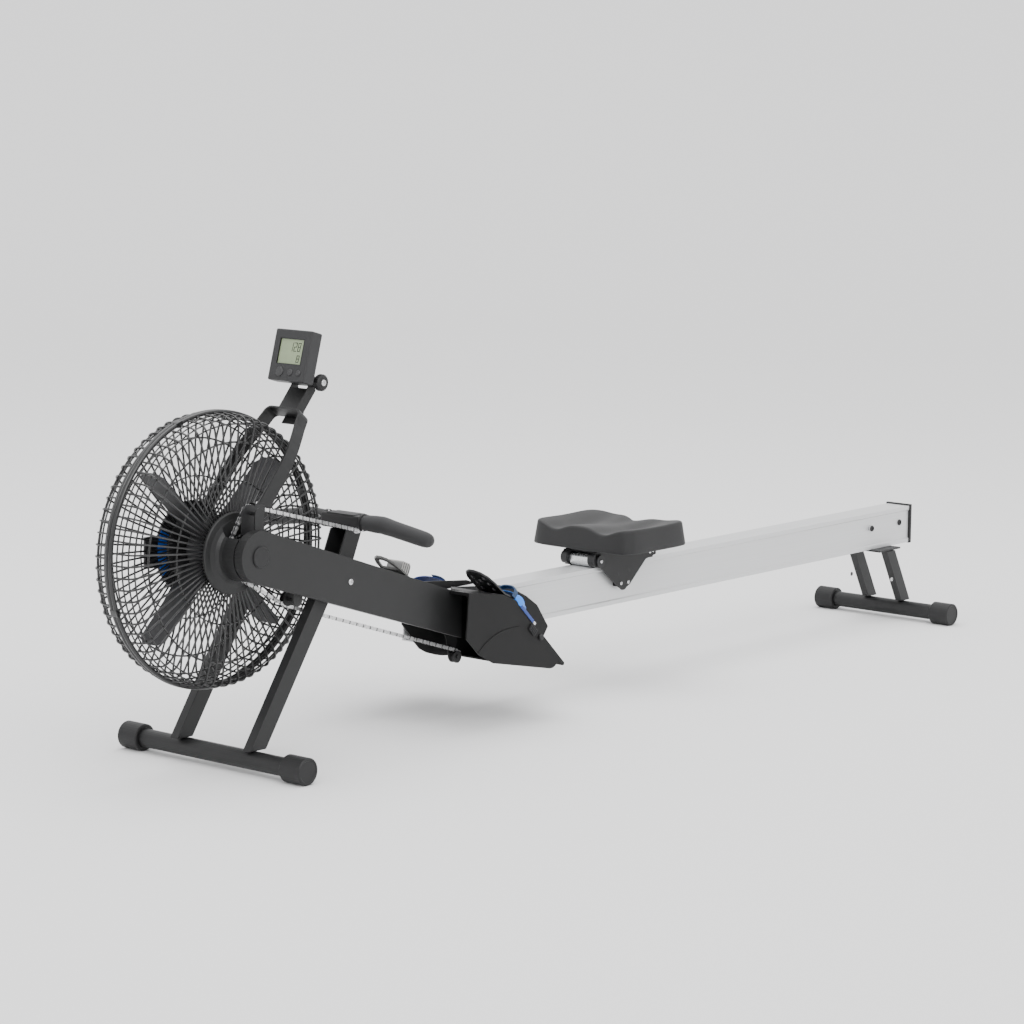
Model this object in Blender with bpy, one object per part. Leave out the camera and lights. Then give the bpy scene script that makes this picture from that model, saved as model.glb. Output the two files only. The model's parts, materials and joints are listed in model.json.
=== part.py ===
"""Air-resistance rowing machine, in metres, +Z up.

X runs along the rail from the fan to the rear foot, Y across the machine, and Z = 0 is the floor.
Lengths along X are counted from the fan axle; the empty "machine" then moves the whole part so
that its origin is the bottom centre of its box. "left" is the chain side, at -Y.
"""

from math import acos, atan2, cos, hypot, pi, radians, sin, tan

import bmesh
import bpy
from mathutils import Matrix, Vector

# Driving dimensions
GAP = 0.0003  # air between two pieces that touch
AXLE_Z = 0.418  # height of the fan axle
AXLE_R = 0.008
RING_R = 0.260  # middle of the cage's clamp ring
RING_OUT = 0.266  # outside of the clamp ring: the front of the machine
CAGE_CORNER_R = 0.253  # where each guard half turns from its face to its rim
CAGE_RIM_Y = 0.0515  # half depth of the cage at that corner
CAGE_HUB_Y = 0.050  # half depth at the hub plates
HUB_PLATE_R = 0.066

RAIL_START = 0.574
RAIL_END = 2.357  # rear face of the end cap: the back of the machine
RAIL_W = 0.065
RAIL_H = 0.089
RAIL_REF_X = 0.528  # the rail's top is this high at this place, and climbs to the rear
RAIL_REF_Z = 0.2527
RAIL_SLOPE = radians(0.582)

FRONT_FOOT_X = 0.011
FRONT_FOOT_HALF = 0.2446
REAR_FOOT_X = 2.305
REAR_FOOT_HALF = 0.193
FOOT_CAP_R = 0.0265
FOOT_TUBE_R = 0.0183
FOOT_CAP_L = 0.052
FOOT_SIDES = 32
FOOT_Z = FOOT_CAP_R * cos(pi / FOOT_SIDES)  # a flat of the cap lies on the floor

BEAM_OUT_Y = 0.1305  # outer face of the left beam
BEAM_T = 0.020
BEAM_R = 0.0495  # round front end
BEAM_END = 0.572
BEAM_FALL = tan(radians(18.3))  # of the beam's top edge
BEAM_END_H = 0.090
RIGHT_BEAM_Y = (0.0925, 0.1105)
RIGHT_BEAM_H = 0.044
CROSS_TUBE = (0.334, 0, 0.322)  # carries the handle's post
LEG_LEAN = 0.6525  # metres forward for each metre down, front legs
LEG_FOOT_X = 0.0147

CHAIN_Y = -0.083
CHAIN_W = 0.005
CHAIN_H = 0.006
SPROCKET_TEETH = 20
CHAIN_R = 0.0428  # middle of the chain where it wraps the sprocket
PIN_R = 0.0040  # pins of the small rollers
GUIDE_X, GUIDE_Z = 0.014, 0.4955  # small roller that lifts the chain to the handle
IDLER_X, IDLER_Z = 0.118, 0.3200  # small roller that presses the lower run down
IDLER_R = 0.0095  # seat of the chain on both small rollers
RETURN_X, RETURN_Z = 0.607, 0.1420
RETURN_R = 0.0095
RETURN_CHAIN_R = 0.0128

HANDLE_X, HANDLE_Z = 0.370, 0.4365
HANDLE_HOOK = (0.350, -0.0470, 0.4200)
GRIP_R = 0.0162
POST_LEAN = radians(23)

STRAP_LEAN = radians(40)
STRAP_TOP = 0.322  # along the strap, from the axle
TILT_X, TILT_Z = 0.252, 0.720  # monitor pivot
MONITOR_LEAN = radians(15)
MONITOR_FACE = (0.210, 0.7725)  # middle of its face
MONITOR_W, MONITOR_H, MONITOR_D = 0.096, 0.101, 0.030

SEAT_FRONT, SEAT_REAR = 1.095, 1.330
SEAT_HALF_W = 0.141
SEAT_BOTTOM = 0.0390  # above the rail's top
SEAT_TOP = 0.0920
ROLLER_R = 0.0145
FRONT_ROLLER_X, REAR_ROLLER_X = 1.122, 1.300

FOOT_OUT_Y, FOOT_IN_Y = 0.182, 0.0445
FOOT_WALL = 0.003
FOOT_TOP = (0.680, 0.2600)  # upper and lower end of the inclined footplate
FOOT_TIP = (0.836, 0.1120)

MACHINE_X = (RING_OUT - RAIL_END) / 2  # puts the origin at the middle of the whole length


def clear_scene():
    for obj in list(bpy.data.objects):
        bpy.data.objects.remove(obj, do_unlink=True)


def empty(name, location, parent=None, tilt=0.0):
    """An empty with its own X and Z axes tilted about Y: positive lifts the +X end."""
    obj = bpy.data.objects.new(name, None)
    obj.matrix_world = Matrix.Translation(Vector(location)) @ Matrix.Rotation(-tilt, 4, "Y")
    obj.parent = parent
    bpy.context.scene.collection.objects.link(obj)
    return obj


def material(name, color, roughness, metallic=0.0):
    mat = bpy.data.materials.get(name)
    if mat is None:
        mat = bpy.data.materials.new(name)
        mat.use_nodes = True
        shader = mat.node_tree.nodes["Principled BSDF"]
        shader.inputs["Base Color"].default_value = (*color, 1.0)
        shader.inputs["Roughness"].default_value = roughness
        shader.inputs["Metallic"].default_value = metallic
    return mat


def powder():
    return material("powder_coat", (0.055, 0.056, 0.058), 0.5)


def black_plastic():
    return material("black_plastic", (0.030, 0.030, 0.032), 0.55)


def gloss_black():
    return material("gloss_black_wire", (0.018, 0.018, 0.019), 0.3)


def foam():
    return material("grip_foam", (0.040, 0.040, 0.042), 0.85)


def aluminium():
    return material("satin_aluminium", (0.68, 0.69, 0.70), 0.38, 0.9)


def steel():
    return material("bright_steel", (0.62, 0.62, 0.63), 0.3, 1.0)


def blue_webbing():
    return material("blue_webbing", (0.015, 0.16, 0.62), 0.7)


def blue_plastic():
    return material("blue_plastic", (0.015, 0.12, 0.50), 0.45)


def add(name, mesh_bm, mat, parent, origin=(0, 0, 0), smooth=False, helper=False):
    """Turns a bmesh, drawn in the parent's frame, into an object whose own origin is at origin."""
    bmesh.ops.recalc_face_normals(mesh_bm, faces=mesh_bm.faces)
    bmesh.ops.translate(mesh_bm, verts=mesh_bm.verts, vec=-Vector(origin))
    mesh = bpy.data.meshes.new(name)
    mesh_bm.to_mesh(mesh)
    mesh_bm.free()
    if smooth:
        mesh.shade_smooth()
        mesh.set_sharp_from_angle(angle=radians(35))
    obj = bpy.data.objects.new(name, mesh)
    obj.location = origin
    obj.parent = parent
    bpy.context.scene.collection.objects.link(obj)
    if helper:
        obj.hide_render = True
        obj.display_type = "WIRE"
    else:
        mesh.materials.append(mat)
    return obj


def cut(obj, cutter_bm, parent, operation="DIFFERENCE"):
    """Cuts a helper body from the object, or joins it on with operation UNION."""
    helper = add(f"{obj.name}_cutter{len(obj.modifiers)}", cutter_bm, None, parent, helper=True)
    modifier = obj.modifiers.new(f"{operation.lower()}_{len(obj.modifiers)}", "BOOLEAN")
    modifier.operation = operation
    modifier.object = helper
    return obj


def prism(outline, low, high, axis="Y"):
    """A closed outline pushed along an axis: Y takes (x, z) points, X takes (y, z), Z takes (x, y)."""
    bm = bmesh.new()
    place = {
        "Y": lambda a, b, t: (a, t, b),
        "X": lambda a, b, t: (t, a, b),
        "Z": lambda a, b, t: (a, b, t),
    }[axis]
    first = [bm.verts.new(place(a, b, low)) for a, b in outline]
    second = [bm.verts.new(place(a, b, high)) for a, b in outline]
    bm.faces.new(first)
    bm.faces.new(second)
    count = len(outline)
    for i in range(count):
        j = (i + 1) % count
        bm.faces.new((first[i], first[j], second[j], second[i]))
    return bm


def block(x, y, z):
    return prism([(x[0], z[0]), (x[1], z[0]), (x[1], z[1]), (x[0], z[1])], y[0], y[1])


def turned(profile, centre, axis="Y", sides=32, phase=0.0):
    """Turns a profile of (radius, place along the axis) points about the axis.

    A profile whose two ends have radius 0 makes a solid; any other closes into a ring.
    """
    bm = bmesh.new()
    solid = profile[0][0] == 0 and profile[-1][0] == 0
    rows = []
    for radius, along in profile:
        turn = [phase + 2 * pi * k / sides for k in range(sides if radius else 1)]
        row = []
        for angle in turn:
            a, b = radius * cos(angle), radius * sin(angle)
            point = {"Y": (a, along, b), "X": (along, a, b), "Z": (a, b, along)}[axis]
            row.append(bm.verts.new(Vector(point) + Vector(centre)))
        rows.append(row)
    pairs = list(zip(rows, rows[1:])) + ([] if solid else [(rows[-1], rows[0])])
    for one, two in pairs:
        for k in range(sides):
            n = (k + 1) % sides
            corners = [one[k % len(one)], one[n % len(one)], two[n % len(two)], two[k % len(two)]]
            bm.faces.new(list(dict.fromkeys(corners)))
    return bm


def cylinder(radius, low, high, centre=(0, 0, 0), axis="Y", sides=24, phase=0.0):
    return turned([(0, low), (radius, low), (radius, high), (0, high)], centre, axis, sides, phase)


def tube(outer, inner, low, high, centre=(0, 0, 0), axis="Y", sides=24, phase=0.0):
    profile = [(inner, low), (outer, low), (outer, high), (inner, high)]
    return turned(profile, centre, axis, sides, phase)


def arc(cx, cz, radius, start, end, steps):
    """Points on a circle from one angle to another, in degrees."""
    angles = [radians(start + (end - start) * k / steps) for k in range(steps + 1)]
    return [(cx + radius * cos(a), cz + radius * sin(a)) for a in angles]


def swept(path, radii, sides=14):
    """A round bar along a path of points, closed at both ends."""
    bm = bmesh.new()
    points = [Vector(p) for p in path]
    rows = []
    for i, point in enumerate(points):
        along = (points[min(i + 1, len(points) - 1)] - points[max(i - 1, 0)]).normalized()
        across = along.cross(Vector((1, 0, 0))).normalized()
        up = across.cross(along)
        spokes = [2 * pi * k / sides for k in range(sides)]
        rows.append([bm.verts.new(point + (across * cos(a) + up * sin(a)) * radii[i]) for a in spokes])
    for one, two in zip(rows, rows[1:]):
        for k in range(sides):
            bm.faces.new((one[k], one[(k + 1) % sides], two[(k + 1) % sides], two[k]))
    bm.faces.new(rows[0])
    bm.faces.new(rows[-1])
    return bm


def band(path, half):
    """Outline of a strip of even width along an open path of (x, z) points."""
    left, right = [], []
    for i, (x, z) in enumerate(path):
        ax, az = path[max(i - 1, 0)]
        bx, bz = path[min(i + 1, len(path) - 1)]
        length = hypot(bx - ax, bz - az)
        nx, nz = -(bz - az) / length, (bx - ax) / length
        left.append((x + nx * half, z + nz * half))
        right.append((x - nx * half, z - nz * half))
    return left + right[::-1]


def tilted(bm, origin, lean):
    """Tips a body drawn upright at the origin so that its top leans to +X, then moves it to origin."""
    turn = Matrix.Translation(Vector(origin)) @ Matrix.Rotation(lean, 4, "Y")
    bmesh.ops.transform(bm, matrix=turn, verts=bm.verts)
    return bm


def flipped(bm):
    """Mirrors a body from the left side of the machine to the right."""
    bmesh.ops.scale(bm, vec=(1, -1, 1), verts=bm.verts)
    return bm


def beam_top(x):
    return AXLE_Z + BEAM_R / cos(atan2(BEAM_FALL, 1)) - x * BEAM_FALL


def beam_outline(height_end, grow=0.0):
    """Side view of a beam: round round the axle, then straight down to its square rear end."""
    fall = atan2(BEAM_FALL, 1)
    end_top = beam_top(BEAM_END) + grow
    end_bottom = end_top - height_end - 2 * grow
    radius = BEAM_R + grow
    low_angle = -90 - 16.8
    nose = arc(0, AXLE_Z, radius, 90 - fall * 180 / pi, 360 + low_angle, 14)
    return nose + [(BEAM_END, end_bottom), (BEAM_END, end_top)]


def frame_parts(machine):
    outer, inner = -BEAM_OUT_Y, -BEAM_OUT_Y + BEAM_T
    beam = add("beam_left", prism(beam_outline(BEAM_END_H), outer, inner), powder(), machine)
    cut(beam, prism(beam_outline(BEAM_END_H, -0.004), outer + 0.004, inner + 0.01), machine)
    boss = tube(0.022, AXLE_R + GAP, outer + 0.001, inner, (0, 0, AXLE_Z))
    cut(beam, boss, machine, "UNION")
    cut(beam, cylinder(AXLE_R + GAP, -0.15, -0.10, (0, 0, AXLE_Z)), machine)
    for x, z, reach in ((GUIDE_X, GUIDE_Z, -0.050), (IDLER_X, IDLER_Z, 0.035)):
        base = z + reach
        ear = prism([(x - 0.013, base), (x + 0.013, base), *arc(x, z, 0.012, 0, 180, 8)]
                    if reach < 0 else
                    [(x - 0.013, base), *arc(x, z, 0.012, 180, 360, 8), (x + 0.013, base)],
                    inner - 0.003, inner)  # fmt: skip
        cut(beam, ear, machine, "UNION")
        cut(beam, cylinder(PIN_R, inner - 0.002, CHAIN_Y + 0.008, (x, 0, z), sides=12), machine, "UNION")

    low, high = RIGHT_BEAM_Y
    nose = arc(0, AXLE_Z + 0.0175, 0.032, 72, 253, 10)
    top_end = beam_top(BEAM_END)
    outline = nose + [(BEAM_END, top_end - RIGHT_BEAM_H), (BEAM_END, top_end)]
    beam = add("beam_right", prism(outline, low, high), powder(), machine)
    cut(beam, cylinder(AXLE_R + GAP, 0.08, 0.12, (0, 0, AXLE_Z)), machine)

    left_in, right_in = -BEAM_OUT_Y + BEAM_T + GAP, RIGHT_BEAM_Y[0] - GAP
    bar = tube(0.0140, 0.0115, left_in, right_in, CROSS_TUBE, sides=20)
    add("cross_tube", bar, powder(), machine, smooth=True)
    bar = block((BEAM_END - 0.030, BEAM_END), (left_in, right_in), (0.2145, 0.2500))
    bar = add("rear_cross_bar", bar, powder(), machine)
    hollow = block((BEAM_END - 0.027, BEAM_END - 0.003), (left_in - 1, right_in + 1), (0.2175, 0.2470))
    cut(bar, hollow, machine)

    slant = atan2(LEG_LEAN, 1)
    for side, low, high, x in (
        ("left", -0.1102, -0.0902, LEG_FOOT_X),
        ("right", 0.0722, 0.0922, LEG_FOOT_X - 0.0140),
    ):
        foot_z = FOOT_Z + FOOT_TUBE_R + 0.0010
        length = (0.352 - foot_z) / cos(slant)
        leg = block((-0.0178, 0.0178), (low, high), (0, length))
        cut_off = block((-0.2, 0.2), (-0.2, 0.2), (-0.1, foot_z))
        bmesh.ops.translate(leg, verts=leg.verts, vec=(0, 0, -0.02))
        leg = add(f"front_leg_{side}", tilted(leg, (x, 0, foot_z), slant), powder(), machine)
        hollow = block((-0.0153, 0.0153), (low + 0.0025, high - 0.0025), (-0.1, length - 0.03))
        cut(leg, tilted(hollow, (x, 0, foot_z), slant), machine)
        cut(leg, cut_off, machine)


def foot_bar(name, x, half, machine):
    inner_end = half - 0.006
    centre = (x, 0, FOOT_Z)
    phase = pi / FOOT_SIDES
    bar = tube(FOOT_TUBE_R, FOOT_TUBE_R - 0.002, -inner_end, inner_end, centre, sides=28)
    add(f"{name}_foot_tube", bar, powder(), machine, smooth=True)
    for side, sign in (("left", -1), ("right", 1)):
        inside, outside = half - FOOT_CAP_L, half
        bore = FOOT_TUBE_R + GAP
        profile = [
            (0, outside - 0.001),
            (0.0205, outside - 0.001),
            (0.0215, outside),
            (FOOT_CAP_R - 0.002, outside),
            (FOOT_CAP_R, outside - 0.002),
            (FOOT_CAP_R, inside + 0.002),
            (FOOT_CAP_R - 0.002, inside),
            (bore, inside),
            (bore, inner_end + GAP),
            (0, inner_end + GAP),
        ]
        profile = [(radius, sign * along) for radius, along in profile]
        cap = turned(profile, centre, sides=FOOT_SIDES, phase=phase)
        add(f"{name}_foot_cap_{side}", cap, black_plastic(), machine, smooth=True)


def rear_legs(machine):
    slant = -atan2(0.075, 0.136)
    top_z = rail_top(2.233) - RAIL_H - 0.006
    plate = block((2.185, 2.275), (-0.059, 0.059), (-0.0045, -GAP))
    turn = Matrix.Rotation(-RAIL_SLOPE, 4, "Y")
    bmesh.ops.translate(plate, verts=plate.verts, vec=(-2.23, 0, 0))
    place = Matrix.Translation((2.23, 0, rail_top(2.23) - RAIL_H / cos(RAIL_SLOPE))) @ turn
    bmesh.ops.transform(plate, matrix=place, verts=plate.verts)
    add("rear_bracket", plate, powder(), machine)
    foot_z = FOOT_Z + FOOT_TUBE_R + 0.0010
    for side, centre in (("left", -0.048), ("right", 0.048)):
        leg = block((-0.0155, 0.0155), (centre - 0.009, centre + 0.009), (-0.03, 0.20))
        leg = add(
            f"rear_leg_{side}", tilted(leg, (2.233 + 0.075, 0, 0.046), slant), powder(), machine
        )
        hollow = block((-0.0130, 0.0130), (centre - 0.0065, centre + 0.0065), (-0.1, 0.3))
        cut(leg, tilted(hollow, (2.233 + 0.075, 0, 0.046), slant), machine)
        cut(leg, block((2.1, 2.5), (-0.1, 0.1), (-0.1, foot_z)), machine)
        cut(leg, block((2.1, 2.5), (-0.1, 0.1), (top_z, 0.4)), machine)


def rail_top(x):
    return RAIL_REF_Z + (x - RAIL_REF_X) * tan(RAIL_SLOPE)


def rail_section(grow=0.0):
    """Outline of the rail across Y and down from its top: two lips a little proud of a flat web."""
    w, h = RAIL_W / 2 + grow, RAIL_H + grow
    lip, web = 0.009, 0.0025
    side = [(w, grow), (w, -lip), (w - web, -lip - web), (w - web, -h + lip + web), (w, -h + lip), (w, -h)]
    return side + [(-y, z) for y, z in reversed(side)]


def rail_parts(rail):
    """Built in the rail's own sloping frame: x from RAIL_REF_X, z from the rail's top."""
    start, end = RAIL_START - RAIL_REF_X, RAIL_END - RAIL_REF_X - 0.008
    beam = add("rail", prism(rail_section(), start, end, "X"), aluminium(), rail)
    inner_w, wall = RAIL_W / 2 - 0.0055, 0.003
    hollow = block((start - 0.1, end + 0.1), (-inner_w, inner_w), (-RAIL_H + wall, -wall))
    cut(beam, hollow, rail)
    stop_x = 2.182 - RAIL_REF_X
    cut(beam, cylinder(0.0062 + GAP, -0.05, 0.05, (stop_x, 0, -0.036), sides=16), rail)
    plate = block((end + GAP, end + 0.008), (-0.0352, 0.0352), (-RAIL_H - 0.002, 0.0035))
    add("rail_end_cap", plate, black_plastic(), rail)
    stop = cylinder(0.0062, -0.0350, 0.0350, (stop_x, 0, -0.036), sides=16)
    add("seat_stop_bolt", stop, steel(), rail, smooth=True)


def seat_outline(grow=0.0):
    """Plan view of the pad: rounded front corners, wider hips, and a tail notch at the rear."""
    w, front, rear = SEAT_HALF_W + grow, SEAT_FRONT - grow, SEAT_REAR + grow
    half = [
        (front, 0.0),
        (front + 0.001, w * 0.50),
        (front + 0.006, w * 0.82),
        (front + 0.020, w * 0.95),
        (front + 0.045, w * 0.995),
        (front + 0.110, w),
        (rear - 0.055, w),
        (rear - 0.022, w * 0.95),
        (rear - 0.007, w * 0.80),
        (rear, w * 0.50),
        (rear - 0.010, w * 0.20),
        (rear - 0.022, 0.0),
    ]
    return half + [(x, -y) for x, y in half[-2:0:-1]]


def seat_parts(rail):
    base = SEAT_BOTTOM + GAP

    def ring(bm, grow, z):
        return [bm.verts.new((x - RAIL_REF_X, y, z)) for x, y in seat_outline(grow)]

    bm = bmesh.new()
    levels = ((0.0, base), (-0.002, base + 0.022), (-0.005, SEAT_TOP - 0.012), (-0.013, SEAT_TOP - 0.003))
    rows = [ring(bm, grow, z) for grow, z in levels]
    inner = ring(bm, -0.045, SEAT_TOP - 0.010)
    rows.append(inner)
    for one, two in zip(rows, rows[1:]):
        for k in range(len(one)):
            n = (k + 1) % len(one)
            bm.faces.new((one[k], one[n], two[n], two[k]))
    bm.faces.new(rows[0])
    bm.faces.new(rows[-1])
    add("seat_pad", bm, foam(), rail, smooth=True)

    def local(x):
        return x - RAIL_REF_X

    tray = block((local(1.116), local(1.306)), (-0.0445, 0.0445), (0.0330, SEAT_BOTTOM))
    carriage = add("seat_carriage", tray, black_plastic(), rail)
    roll_z = ROLLER_R + 0.0006
    top = 0.0350
    for sign in (-1, 1):
        low, high = sorted((sign * 0.0415, sign * 0.0445))
        side = [
            (local(1.108), top),
            (local(1.108), 0.0060),
            (local(1.128), -0.0010),
            (local(1.186), -0.0480),
            *arc(local(1.206), -0.0430, 0.0150, 220, 320, 5),
            (local(1.228), -0.0480),
            (local(1.284), 0.0010),
            (local(1.320), 0.0080),
            (local(1.320), top),
        ]
        cut(carriage, prism(side, low, high), rail, "UNION")
        for x in (FRONT_ROLLER_X, REAR_ROLLER_X):
            low, high = sorted((sign * 0.0290, sign * 0.0420))
            ear = block((local(x) - 0.012, local(x) + 0.012), (low, high), (0.0020, 0.0340))
            cut(carriage, ear, rail, "UNION")
            ear_cut = cylinder(0.0045, -0.06, 0.06, (local(x), 0, roll_z), sides=12)
            if sign > 0:
                cut(carriage, ear_cut, rail)
        low, high = sorted((sign * 0.0305, sign * 0.0420))
        pad = block((local(1.186), local(1.226)), (low, high), (-0.0480, -0.0125))
        cut(carriage, pad, rail, "UNION")
    for name, x in (("front", FRONT_ROLLER_X), ("rear", REAR_ROLLER_X)):
        profile = [
            (0, -0.0440),
            (0.0040, -0.0440),
            (0.0040, -0.0286),
            (ROLLER_R - 0.001, -0.0286),
            (ROLLER_R, -0.0276),
            (ROLLER_R, 0.0276),
            (ROLLER_R - 0.001, 0.0286),
            (0.0040, 0.0286),
            (0.0040, 0.0440),
            (0, 0.0440),
        ]
        roller = turned(profile, (local(x), 0, roll_z), sides=24)
        add(f"seat_roller_{name}", roller, aluminium(), rail, (local(x), 0, roll_z), smooth=True)


def guard_half(name, sign, hub):
    """One half of the cage: hub plate, radial wires, four rings and the turned rim, in one net.

    Rows give (radius, depth). Faces are left out between the wires; Solidify gives wire thickness.
    """
    wires = 24
    share = 0.17  # of the pitch that a wire covers
    rows = [
        (HUB_PLATE_R - 0.020, CAGE_HUB_Y),
        (HUB_PLATE_R, CAGE_HUB_Y),
        (0.135, CAGE_HUB_Y + 0.0005),
        (0.139, CAGE_HUB_Y + 0.0005),
        (0.206, CAGE_RIM_Y),
        (0.210, CAGE_RIM_Y),
        (CAGE_CORNER_R - 0.005, CAGE_RIM_Y),
        (CAGE_CORNER_R, CAGE_RIM_Y - 0.002),
        (RING_R - 0.002, 0.0125),
        (RING_R, 0.0088),
    ]
    full_rows = (0, 2, 4, 6, 8)
    bm = bmesh.new()
    grid = []
    for radius, depth in rows:
        row = []
        for k in range(wires):
            for edge in (0.0, share):
                angle = 2 * pi * (k + edge) / wires
                row.append(bm.verts.new((radius * cos(angle), sign * depth, AXLE_Z + radius * sin(angle))))
        grid.append(row)
    columns = 2 * wires
    for r in range(len(rows) - 1):
        for k in range(columns):
            if k % 2 and r not in full_rows:
                continue
            n = (k + 1) % columns
            bm.faces.new((grid[r][k], grid[r][n], grid[r + 1][n], grid[r + 1][k]))
    obj = add(name, bm, gloss_black(), hub)
    thick = obj.modifiers.new("wire_thickness", "SOLIDIFY")
    thick.thickness = 0.0030
    thick.offset = 0.0
    return obj


def fan_parts(machine):
    centre = (0, 0, AXLE_Z)
    axle = cylinder(AXLE_R, -BEAM_OUT_Y + GAP, RIGHT_BEAM_Y[1] + 0.001, centre, sides=20)
    add("fan_axle", axle, steel(), machine, smooth=True)
    cap = turned(
        [(0, -0.1340), (0.0185, -0.1340), (0.0205, -0.1325), (0.0205, -0.1308), (0, -0.1308)], centre
    )
    add("axle_cap_left", cap, black_plastic(), machine, smooth=True)

    bore = AXLE_R + GAP
    hub_r = 0.036
    hub = [
        (bore, -0.040), (0.020, -0.040), (0.024, -0.034), (hub_r, -0.030), (hub_r, 0.030),
        (0.024, 0.034), (0.020, 0.040), (bore, 0.040),
    ]  # fmt: skip
    add("fan_hub", turned(hub, centre, sides=32), black_plastic(), machine, centre, smooth=True)
    for k in range(4):
        angle = pi / 4 + k * pi / 2
        tip, half = 0.226, 0.033
        outline = [
            (hub_r + GAP + 0.0006, -0.026), (0.060, -half), (tip - 0.014, -half), (tip, -half + 0.014),
            (tip, half - 0.014), (tip - 0.014, half), (0.060, half), (hub_r + GAP + 0.0006, 0.026),
        ]  # fmt: skip
        blade = prism([(y, r) for r, y in outline], -0.00125, 0.00125, "X")
        bmesh.ops.transform(
            blade,
            matrix=Matrix.Translation(centre) @ Matrix.Rotation(pi / 2 - angle, 4, "Y"),
            verts=blade.verts,
        )
        add(f"fan_blade_{k + 1}", blade, black_plastic(), machine, centre)

    guard_half("guard_left", -1, machine)
    guard_half("guard_right", 1, machine)
    half = 0.0062
    ring = [
        (RING_R - 0.0055, -half * 0.6), (RING_R - 0.003, -half), (RING_R + 0.003, -half),
        (RING_OUT, -half * 0.4), (RING_OUT, half * 0.4), (RING_R + 0.003, half),
        (RING_R - 0.003, half), (RING_R - 0.0055, half * 0.6),
    ]  # fmt: skip
    add("guard_ring", turned(ring, centre, sides=64), gloss_black(), machine, smooth=True)

    flange = [
        (bore, -0.0545), (0.0770, -0.0545), (0.0785, -0.0560), (0.0785, -0.0600), (0.0765, -0.0620),
        (0.066, -0.0634), (0.057, -0.0670), (0.0515, -0.0725), (0.0500, -0.0790), (0.0500, -0.1085),
        (0.0475, -0.1085), (0.0475, -0.0700), (bore, -0.0690),
    ]  # fmt: skip
    cover = add("sprocket_cover", turned(flange, centre, sides=48), powder(), machine, smooth=True)
    top = AXLE_Z + 0.0235
    cut(cover, block((-0.035, 0.07), (-0.12, -0.0645), (top, top + 0.05)), machine)
    cut(cover, block((-0.016, 0.07), (-0.12, -0.0745), (AXLE_Z - 0.06, top + 0.01)), machine)

    damper = tube(0.0890, 0.0500, 0.0545, 0.0585, centre, sides=48)
    damper = add("damper_ring", damper, blue_plastic(), machine, centre, smooth=True)
    lever = block((-0.1180, -0.0800), (0.0550, 0.0600), (-0.0300, 0.0300))
    bmesh.ops.translate(lever, verts=lever.verts, vec=centre)
    cut(damper, lever, machine, "UNION")
    for k in range(8):
        angle = 2 * pi * (k + 0.5) / 8
        slot = block((-0.005, 0.005), (0.050, 0.062), (0.058, 0.080))
        place = Matrix.Translation(centre) @ Matrix.Rotation(angle, 4, "Y")
        bmesh.ops.transform(slot, matrix=place, verts=slot.verts)
        cut(damper, slot, machine)


def tangent(c1, r1, c2, r2, side):
    """Points where a straight run leaves one circle and meets the next, and its normal's angle.

    side is 1 or -1. A negative r2 takes the run to the other side of the second circle.
    """
    dx, dz = c2[0] - c1[0], c2[1] - c1[1]
    normal = atan2(dz, dx) + side * acos((r1 - r2) / hypot(dx, dz))
    n = (cos(normal), sin(normal))
    return (c1[0] + r1 * n[0], c1[1] + r1 * n[1]), (c2[0] + r2 * n[0], c2[1] + r2 * n[1]), normal


def chain_path(chain_half):
    """The chain's fixed stretch: guide roller, sprocket, idler, then round the return pulley."""
    guide, sprocket = (GUIDE_X, GUIDE_Z), (0, AXLE_Z)
    idler, pulley = (IDLER_X, IDLER_Z), (RETURN_X, RETURN_Z)
    wrap_r = IDLER_R + GAP + chain_half
    _, _, up = tangent(sprocket, CHAIN_R, guide, wrap_r, 1)
    _, _, down = tangent(sprocket, CHAIN_R, idler, wrap_r, -1)
    _, _, low = tangent(idler, wrap_r, pulley, -RETURN_CHAIN_R, -1)
    up, down, low = (angle * 180 / pi for angle in (up, down, low))
    path = arc(*guide, wrap_r, 92, up, 4)
    path += arc(*sprocket, CHAIN_R, up, down + 360, 14)
    path += arc(*idler, wrap_r, down, low, 2)
    path += arc(*pulley, RETURN_CHAIN_R, low + 180, -80, 9)
    return path


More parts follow.
